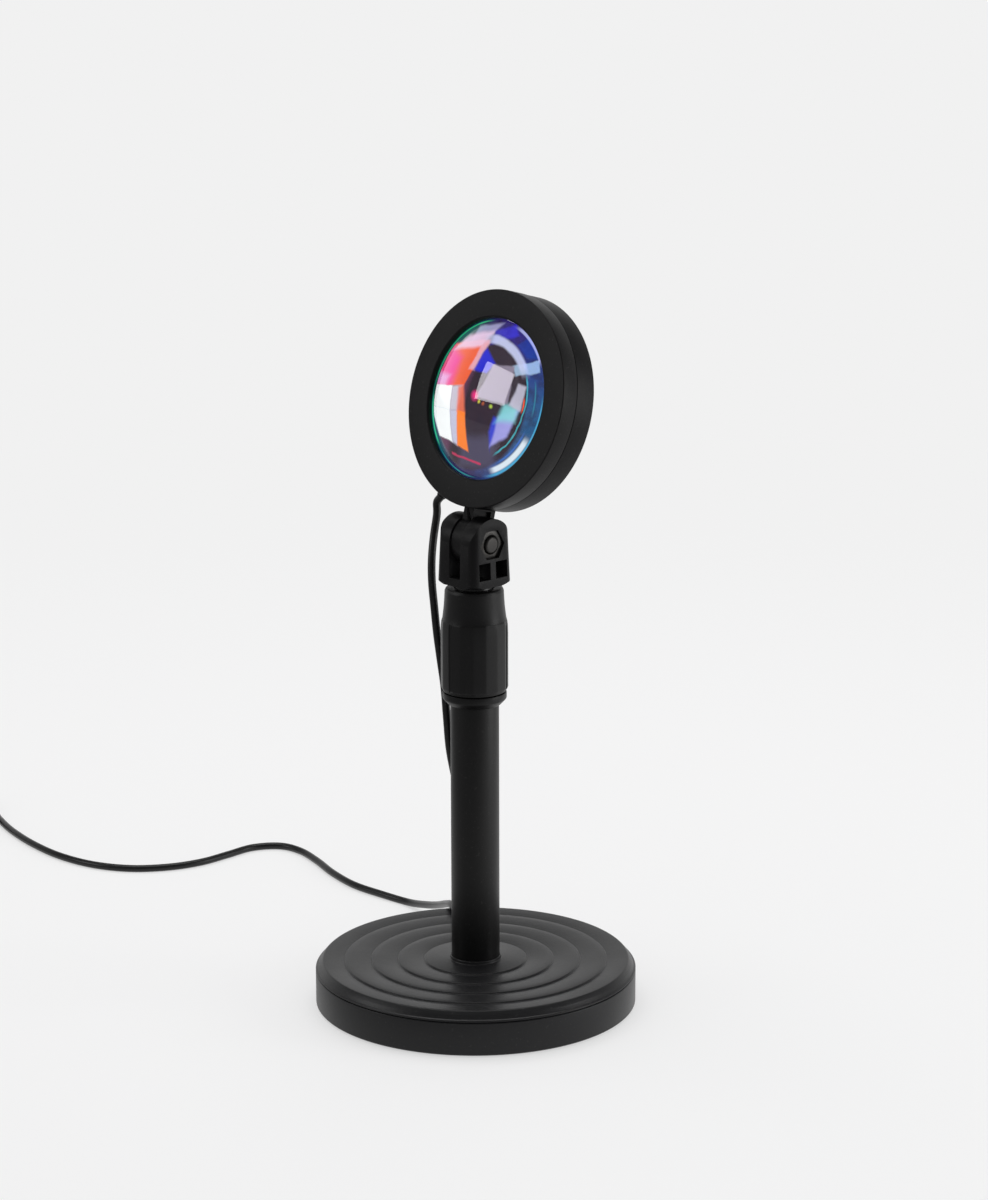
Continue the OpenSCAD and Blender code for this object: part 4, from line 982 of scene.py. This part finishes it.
FORK_TOP = HINGE_Z + 10.5
EAR_R, EAR_FOOT_Y = 9.5, 9.9
SLOT_HALF = 2.95
WEB = 1.6
BOLT_R, BOLT_HEAD_R = 3, 5.2
SEAT_X = 5.9
NUT_T, NUT_HALF_WIDTH = 3.2, 5


def leaning_block(foot, top, low_z, top_z):
    """A block whose sides lean in from its half size at the foot to that at the top"""
    piece = block((-foot[0], -foot[1], low_z), (foot[0], foot[1], top_z))
    choose(piece, "FACE", lambda at, normal: normal.z > 0.5)
    scale_chosen(top[0] / foot[0], top[1] / foot[1])
    return piece


def round_uprights(piece, width, segments):
    """Rounds the edges of a block that run upwards"""
    choose(piece, "EDGE", lambda a, b: abs(a.z - b.z) > 1e-3)
    bpy.ops.mesh.bevel(offset=width * MM, segments=segments, affect="EDGES")
    bpy.ops.object.mode_set(mode="OBJECT")
    return piece


def ear_outline():
    """The fork's side outline along X: flanks that run tangent into a round top"""
    foot_z = FORK_Z - HINGE_Z
    touch = atan2(foot_z, EAR_FOOT_Y) + acos(EAR_R / sqrt(EAR_FOOT_Y ** 2 + foot_z ** 2))
    outline = place(rod(EAR_R, -14, 14, 96), HINGE_SPACE)
    flanks = leaning_block((14, EAR_FOOT_Y), (14, EAR_R * cos(touch)), FORK_Z - 0.5,
                           HINGE_Z + EAR_R * sin(touch))
    return carve(outline, flanks, how="UNION")


def build_fork():
    """A tapered block with rounded corners, cut by a slot, windows and bolt seats"""
    fork = turned("fork_body", [
        (0, FORK_Z), (11.4, FORK_Z), (13.4, FORK_Z + 1.07), (13.4, FORK_TOP),
        (0, FORK_TOP)], 96, 0.1)
    body = leaning_block((10.6, 9.93), (9.4, 9.26), FORK_Z - 0.5, FORK_TOP + 0.5)
    carve(fork, ear_outline(), round_uprights(body, 3.2, 10), how="INTERSECT")
    carve(fork, block((-SLOT_HALF, -15, FORK_Z + 3), (SLOT_HALF, 15, FORK_TOP + 4.5)))
    # The ear away from the nut keeps a web behind its windows, so the slot stays dark
    for side, inner in ((-1, SLOT_HALF + WEB), (1, SLOT_HALF - 1)):
        for y in (-4.1, 4.1):
            near, far = sorted((side * inner, side * 15))
            carve(fork, block((near, y - 2.8, FORK_Z + 3), (far, y + 2.8, FORK_Z + 9.3)))
    soften(fork, 0.5, 3, 26)
    carve(fork, place(rod(BOLT_R + RUN_FIT, -15, 15), HINGE_SPACE),
          place(rod(5.923, SEAT_X, 20, 6), HINGE_SPACE),
          place(rod(5.5, -20, -SEAT_X), HINGE_SPACE))
    soften(fork, 0.12, 2, 40)
    spigot = plain_tube("spigot", 0, INNER_BORE_R - RUN_FIT, FORK_Z - 16, FORK_Z + 0.2, 64)
    dress(join("fork_body", fork, spigot), "head_plastic", "mast", "fork", smooth=30)


def build_bolt():
    """The hinge bolt with its hexagon socket, and the nut in its pocket"""
    face, tip = SEAT_X + NUT_T, SEAT_X + NUT_T + 0.8
    thread = [(BOLT_R - 0.22 * (i % 2), SEAT_X + 0.5 + i * 0.3) for i in range(12)]
    bolt = turned("bolt", [
        (0, -face), (BOLT_HEAD_R - 0.8, -face), (BOLT_HEAD_R, -face + 1.2),
        (BOLT_HEAD_R, -SEAT_X), (BOLT_R, -SEAT_X), *thread, (BOLT_R - 0.05, tip - 0.35),
        (BOLT_R - 0.5, tip), (0, tip)], 64, 0.12)
    carve(bolt, rod(2.31, -face - 0.2, -face + 2, 6))
    dress(bolt, "fastener_steel", "mast", "hinge_bolt", space=HINGE_SPACE, smooth=35)
    nut = rod(NUT_HALF_WIDTH / cos(pi / 6), SEAT_X, face, 6, "nut")
    cone = turned("cone", [(0, SEAT_X - 1), (6, SEAT_X - 1), (6, face - 0.45),
                           (4.9, face + 0.05), (0, face + 0.05)], 64, 0.02)
    carve(nut, cone, how="INTERSECT")
    sink = turned("sink", [
        (0, SEAT_X - 1), (BOLT_R + RUN_FIT, SEAT_X - 1), (BOLT_R + RUN_FIT, face - 0.7),
        (3.8, face + 0.1), (0, face + 0.1)], 64, 0.02)
    carve(nut, sink)
    soften(nut, 0.12, 2, 40)
    dress(nut, "fastener_steel", "mast", "hinge_nut", space=HINGE_SPACE, smooth=30)


# ---- Head ----

HEAD_R, OPENING_R = 39.9, 29.5
FACE_W, SEAT_W, SEAM_W, BACK_W = 8.3, 6.3, 1.1, -7.8
STEM_HALF, STEM_DEPTH_HALF = 2.6, 5.4
KNUCKLE_R = 8.9
VENTS, VENT_PITCH = 7, 5
SCREW_ANGLES, SCREW_CIRCLE_R = (35, 145, 215, 325), 35.8
# The lead's exit has z outwards from the head's middle
EXIT_SPACE = (Matrix.Translation((0, 0, EXIT_W * MM)) @ Matrix.Rotation(EXIT_TURN, 4, "Z")
              @ ALONG_X)
LENS_EDGE_R, LENS_RISE = 29.2, 6.8
FLANGE_R, FLANGE_W = 32, 3.9
FILTER_R, FILTER_BACK_W, FILTER_FACE_W = 28.5, 2.2, 3.2


def stem_notch():
    """The cut that the neck's stem passes through"""
    reach = STEM_HALF + 0.2
    return block((-reach, -HEAD_R - 1, -STEM_DEPTH_HALF - 0.2),
                 (reach, -HEAD_R + 5, STEM_DEPTH_HALF + 0.2))


def build_neck():
    """The knuckle round the bolt, and the flat blade that carries the head"""
    neck = place(rod(KNUCKLE_R, -STEM_HALF, STEM_HALF, 96, "neck_stem"), HINGE_SPACE)
    stem = block((-STEM_HALF, -HINGE_TO_AXIS, -STEM_DEPTH_HALF),
                 (STEM_HALF, -36.5, STEM_DEPTH_HALF))
    foot = block((-7, -36.7, -STEM_DEPTH_HALF), (7, -34.8, 4.4))
    carve(neck, place(stem, HEAD_SPACE), place(foot, HEAD_SPACE), how="UNION")
    carve(neck, place(rod(BOLT_R + RUN_FIT, -12, 12), HINGE_SPACE))
    recess_low = KNUCKLE_R - HINGE_TO_AXIS
    for side in (-1, 1):
        near, far = sorted((side * (STEM_HALF - 1.4), side * (STEM_HALF + 1.4)))
        pocket = block((near, recess_low, -3.4), (far, recess_low + 2.4, 3.4))
        carve(neck, place(pocket, HEAD_SPACE))
    soften(neck, 0.35, 3, 28)
    dress(neck, "head_plastic", "head", "neck", smooth=30)


def build_bezel():
    """The front ring, with its flat face, the lens seat behind it and a soft rim"""
    profile = [
        (37.9, SEAM_W), (39.3, SEAM_W), (39.3, SEAM_W + 0.35), (HEAD_R, SEAM_W + 0.35),
        *arc((HEAD_R - 0.35, FACE_W - 0.35), 0.35, 0, 90, 4),
        (30.3, FACE_W), (30.0, FACE_W - 0.1), (29.6, 7.8), (OPENING_R, 7.55),
        (OPENING_R, SEAT_W), (32.2, SEAT_W), (32.2, 2.2), (33.7, 2.2), (33.7, SEAT_W),
        (37.9, SEAT_W)]
    bezel = turned("front_bezel", profile, 192, 0.1)
    carve(bezel, stem_notch())
    dress(bezel, "head_plastic", "head", "bezel", space=HEAD_SPACE, smooth=24)


def vent_slot(y):
    """A slot with round ends, cut blind into the back"""
    reach = sqrt((VENTS * VENT_PITCH / 2 + 2) ** 2 - y * y) - 1
    slot = block((-reach, y - 1, BACK_W - 1), (reach, y + 1, BACK_W + 1.0))
    return round_uprights(slot, 0.98, 6)


def build_rear():
    """The rear cover, with its vents, its four screw wells and the lead's hole"""
    rim = REAR_R + 0.25
    profile = [
        (0, BACK_W), *arc((rim - 0.7, BACK_W + 0.7), 0.7, -90, 0, 8),
        (rim, SEAM_W - 0.15), (rim - 0.15, SEAM_W), (37.5, SEAM_W), (37.5, -5.8),
        (0, -5.8)]
    rear = turned("rear_cover", profile, 192, 0.05)
    for i in range(VENTS):
        carve(rear, vent_slot((i - (VENTS - 1) / 2) * VENT_PITCH))
    for angle in SCREW_ANGLES:
        well = rod(2.0, BACK_W - 1, BACK_W + 2.4, 32)
        middle = Vector((cos(radians(angle)), sin(radians(angle)), 0)) * SCREW_CIRCLE_R
        carve(rear, place(well, Matrix.Translation(middle * MM)))
    hole = rod(1.95, 36.5, 41, 32)
    carve(rear, place(hole, EXIT_SPACE), stem_notch())
    soften(rear, 0.15, 2, 40)
    dress(rear, "head_plastic", "head", "rear_shell", space=HEAD_SPACE, smooth=28)


def build_grommet():
    """The short ribbed relief where the lead leaves the rear cover"""
    ribs = []
    for i in range(4):
        foot, size = 40.9 + i * 1.1, 2.5 - i * 0.12
        ribs += [(size, foot), (size, foot + 0.5), (size - 0.4, foot + 0.6),
                 (size - 0.4, foot + 1.05)]
    profile = [(0, 36.1), (2.2, 36.1), (2.2, 37.2), (1.9, 37.3), (1.9, 39.85), (2.6, 39.85),
               (2.6, 40.7), *ribs, (1.95, 45.4), (1.8, 46.0), (0, 46.0)]
    dress(turned("lead_relief", profile, 48, 0.08), "cord_jacket", "head", "cord_grommet",
          space=HEAD_SPACE @ EXIT_SPACE)


def build_lens():
    """The plano-convex lens and the dichroic filter behind it"""
    sphere_r = (LENS_EDGE_R ** 2 + LENS_RISE ** 2) / (2 * LENS_RISE)
    rim = acos(1 - LENS_RISE / sphere_r) * 180 / pi
    apex_w = SEAT_W + LENS_RISE
    crown = arc((0, apex_w - sphere_r), sphere_r, 90 - rim, 90, 28)
    profile = [(0, FLANGE_W), (FLANGE_R - 0.2, FLANGE_W), (FLANGE_R, FLANGE_W + 0.2),
               (FLANGE_R, SEAT_W - 0.2), (FLANGE_R - 0.2, SEAT_W - 0.01), *crown[:-1],
               (0, apex_w)]
    dress(turned("lens_dome", profile, 160, 0.0), "lens_glass", "head", "lens",
          space=HEAD_SPACE, smooth=20)
    disc = plain_tube("dichroic_filter", 0, FILTER_R, FILTER_BACK_W, FILTER_FACE_W, 128,
                      0.15)
    dress(disc, "filter_glass", "head", "colour_filter", space=HEAD_SPACE)


# ---- Plug ----

# The plug's own space has x along it, away from the lead
PLUG_SPACE = Matrix.Translation(tail_end * MM) @ Matrix.Rotation(plug_turn, 4, "Z")
RELIEF_LEN, PLUG_L, PLUG_W = 9, 24, 15.6
SHELL_HALF_W, SHELL_HALF_H, SHELL_L, SHELL_T = 6, 2.25, 12, 0.3


def build_plug():
    """An overmoulded body with finger grooves, its ribbed relief and its steel shell"""
    ribs = []
    for i in range(3):
        foot, size = 1.2 + i * 2.4, 2.1 + i * 0.32
        ribs += [(size - 0.3, foot), (size, foot + 0.3), (size, foot + 1.1),
                 (size - 0.3, foot + 1.4)]
    relief = turned("plug_neck", [(0, 0), (1.85, 0), *ribs, (2.9, 8.6), (2.9, RELIEF_LEN),
                                  (0, RELIEF_LEN)], 48, 0.08)
    dress(relief, "cord_jacket", "root", "plug_relief", space=PLUG_SPACE @ ALONG_X)

    half_w, half_h = PLUG_W / 2, PLUG_H / 2
    end = RELIEF_LEN + PLUG_L
    body = block((RELIEF_LEN, -half_w, -half_h), (end, half_w, half_h), "plug_grip")
    soften(body, 1.7, 6)
    for i in range(5):
        x = RELIEF_LEN + 4 + i * 2
        for side in (-1, 1):
            near, far = sorted((side * (half_w - 0.5), side * (half_w + 1)))
            carve(body, block((x, near, -half_h - 1), (x + 0.9, far, half_h + 1)))
    soften(body, 0.12, 2, 40)
    dress(body, "cord_jacket", "root", "plug_body", space=PLUG_SPACE, smooth=30)

    shell = block((end, -SHELL_HALF_W, -SHELL_HALF_H),
                  (end + SHELL_L, SHELL_HALF_W, SHELL_HALF_H), "plug_sleeve")
    soften(shell, 0.5, 4)
    inner_w, inner_h = SHELL_HALF_W - SHELL_T, SHELL_HALF_H - SHELL_T
    carve(shell, block((end - 1, -inner_w, -inner_h), (end + SHELL_L + 1, inner_w, inner_h)))
    for y in (-2.9, 2.9):
        carve(shell, block((end + 5.1, y - 1.2, 0.5), (end + 7.3, y + 1.2, 3)))
    dress(shell, "plug_steel", "root", "plug_shell", space=PLUG_SPACE, smooth=30)
    return relief, body, shell


build_base()
build_pole()
build_grip()
build_fork()
build_bolt()
build_neck()
build_bezel()
build_rear()
build_grommet()
build_lens()
plug_pieces = build_plug()

# Inner pieces keep their CAD shape and take the finish of their own slot
CARRIED_OVER = {
    "ballast_steel": ("base_ballast",), "foam_pad": ("base_pad", "lens_gasket"),
    "fastener_steel": ("base_bolt", "base_washer", "shell_screws"),
    "nylon": ("tube_plug", "collet", "stop_bush", "friction_washers"),
    "head_plastic": ("lens_retainer",), "reflector_silver": ("reflector",),
    "board_white": ("light_board",), "chip_yellow": ("light_chips",),
    "receiver_epoxy": ("remote_receiver",), "spreader_aluminium": ("heat_spreader",),
    "lead_insulation": ("inner_leads",), "plug_plastic": ("plug_tongue",),
    "contact_gold": ("plug_contacts",)}
for slot_name, node_names in CARRIED_OVER.items():
    for node_name in node_names:
        node_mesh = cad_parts[node_name].data
        node_mesh.materials.clear()
        node_mesh.materials.append(FINISHES[slot_name])

# ---- Studio ----

# Brightness of the background, and of the floor's paper by the lights alone
PAPER, LIT_PAPER = 0.8796, 0.68
# Brightness that lights the lamp, and those that mirrors see where the studio is dark
SOFT_LIGHT = 0.50
DARK_SIDE, DARK_FLOOR, DARK_TOP = 0.15, 0.25, 0.14
# Distances between which the floor's paper fades into the background
FADE_FROM, FADE_TO = 0.25, 1.1
# In mirrors the floor is dark up to one Y and pale from another, the wall likewise by
# how far a ray points to the back, and the room above it is dark from some steepness on
DARK_TO_Y, PALE_FROM_Y = -0.3, 0.15
DARK_TO_BACK, PALE_FROM_BACK = 0.15, 0.85
PALE_TO_RISE, DARK_FROM_RISE = 0.34, 0.58
LIGHTS_AIM = Vector((0, 0, 0.2))
BACK_DIRECTION = Vector((CAMERA_FORWARD.x, CAMERA_FORWARD.y, 0)).normalized()


def seen_directly(tree):
    """One for rays straight from the camera or through clear glass, then one for rays
    from mirrors, also where such a ray has left a glass through its other side"""
    path = add(tree, "LightPath").outputs
    unmirrored = less(tree, 1.0, sums(tree, "MINIMUM", path["Glossy Depth"], 1.0))
    clear = product(tree, path["Is Transmission Ray"], unmirrored)
    either = sums(tree, "MAXIMUM", path["Is Glossy Ray"], path["Is Transmission Ray"])
    return sums(tree, "MAXIMUM", path["Is Camera Ray"], clear), less(tree, either, clear)


def build_floor():
    """A pale sweep that keeps the lamp's shadow and fades into the background. Mirrors
    see it darker before the lens, where the studio is dark."""
    bpy.ops.mesh.primitive_plane_add(size=40)
    floor = bpy.context.object
    floor.name = "studio_floor"
    material = bpy.data.materials.new("studio_floor")
    material.use_nodes = True
    tree = material.node_tree
    tree.nodes.remove(tree.nodes["Principled BSDF"])
    paper = add(tree, "BsdfDiffuse", Color=(0.82, 0.82, 0.825, 1)).outputs[0]
    direct, glossy = seen_directly(tree)
    where = add(tree, "TexCoord").outputs["Object"]
    share = ramp_of(tree, vectors(tree, "LENGTH", where), FADE_FROM, FADE_TO, 0.5, 1.0)
    # The glow makes up what the lit paper lacks to the background's brightness
    lacking = total(tree, PAPER - LIT_PAPER, product(tree, share, LIT_PAPER))
    glow = sums(tree, "DIVIDE", lacking, share)
    behind = add(tree, "SeparateXYZ", Vector=where).outputs["Y"]
    mirrored = ramp_of(tree, behind, DARK_TO_Y, PALE_FROM_Y, DARK_FLOOR, PAPER)
    swap = product(tree, glossy, less(tree, mirrored, glow))
    light = add(tree, "Emission", Strength=total(tree, glow, swap)).outputs[0]
    used = sums(tree, "MAXIMUM", product(tree, direct, share), glossy)
    mixed = add(tree, "MixShader", Fac=used)
    tree.links.new(paper, mixed.inputs[1])
    tree.links.new(light, mixed.inputs[2])
    feed(tree, tree.nodes["Material Output"].inputs["Surface"], mixed.outputs[0])
    floor.data.materials.append(material)


def build_world():
    """Pale behind the lamp. Mirrors see it dark on the camera's side and overhead."""
    world = bpy.data.worlds.new("studio")
    bpy.context.scene.world = world
    world.use_nodes = True
    tree = world.node_tree
    direct, glossy = seen_directly(tree)
    way = add(tree, "TexCoord").outputs["Generated"]
    behind = vectors(tree, "DOT_PRODUCT", way, BACK_DIRECTION)
    rise = add(tree, "SeparateXYZ", Vector=way).outputs["Z"]
    high = ramp_of(tree, rise, PALE_TO_RISE, DARK_FROM_RISE)
    wall = ramp_of(tree, behind, DARK_TO_BACK, PALE_FROM_BACK, DARK_SIDE, PAPER)
    mirrored = ramp_of(tree, high, 0.0, 1.0, wall, DARK_TOP)
    light = total(tree, product(tree, direct, PAPER - SOFT_LIGHT), SOFT_LIGHT)
    swap = product(tree, glossy, less(tree, mirrored, SOFT_LIGHT))
    feed(tree, tree.nodes["Background"].inputs["Color"], total(tree, light, swap))


def add_softbox(name, azimuth, elevation, distance, width, height, radiance,
                diffuse=True, roll=0):
    """A rectangular light that looks at the lamp; angles in degrees from +X and up"""
    a, e = radians(azimuth), radians(elevation)
    way = Vector((cos(a) * cos(e), sin(a) * cos(e), sin(e)))
    data = bpy.data.lights.new(name, "AREA")
    data.shape, data.size, data.size_y = "RECTANGLE", width, height
    data.energy = radiance * pi * width * height
    light = bpy.data.objects.new(name, data)
    light.location = LIGHTS_AIM + way * distance
    light.rotation_euler = way.to_track_quat("Z", "Y").to_euler()
    light.rotation_euler.rotate_axis("Z", radians(roll))
    light.visible_diffuse, light.visible_transmission = diffuse, False
    bpy.context.scene.collection.objects.link(light)


build_floor()
build_world()
add_softbox("window_softbox", -125, 21.5, 1.3, 0.60, 0.43, 3.1, diffuse=False, roll=6)
add_softbox("overhead_softbox", 150, 74, 1.6, 1.5, 1.2, 2.2)
add_softbox("side_softbox", 38, 8, 1.6, 0.7, 1.1, 3.0)
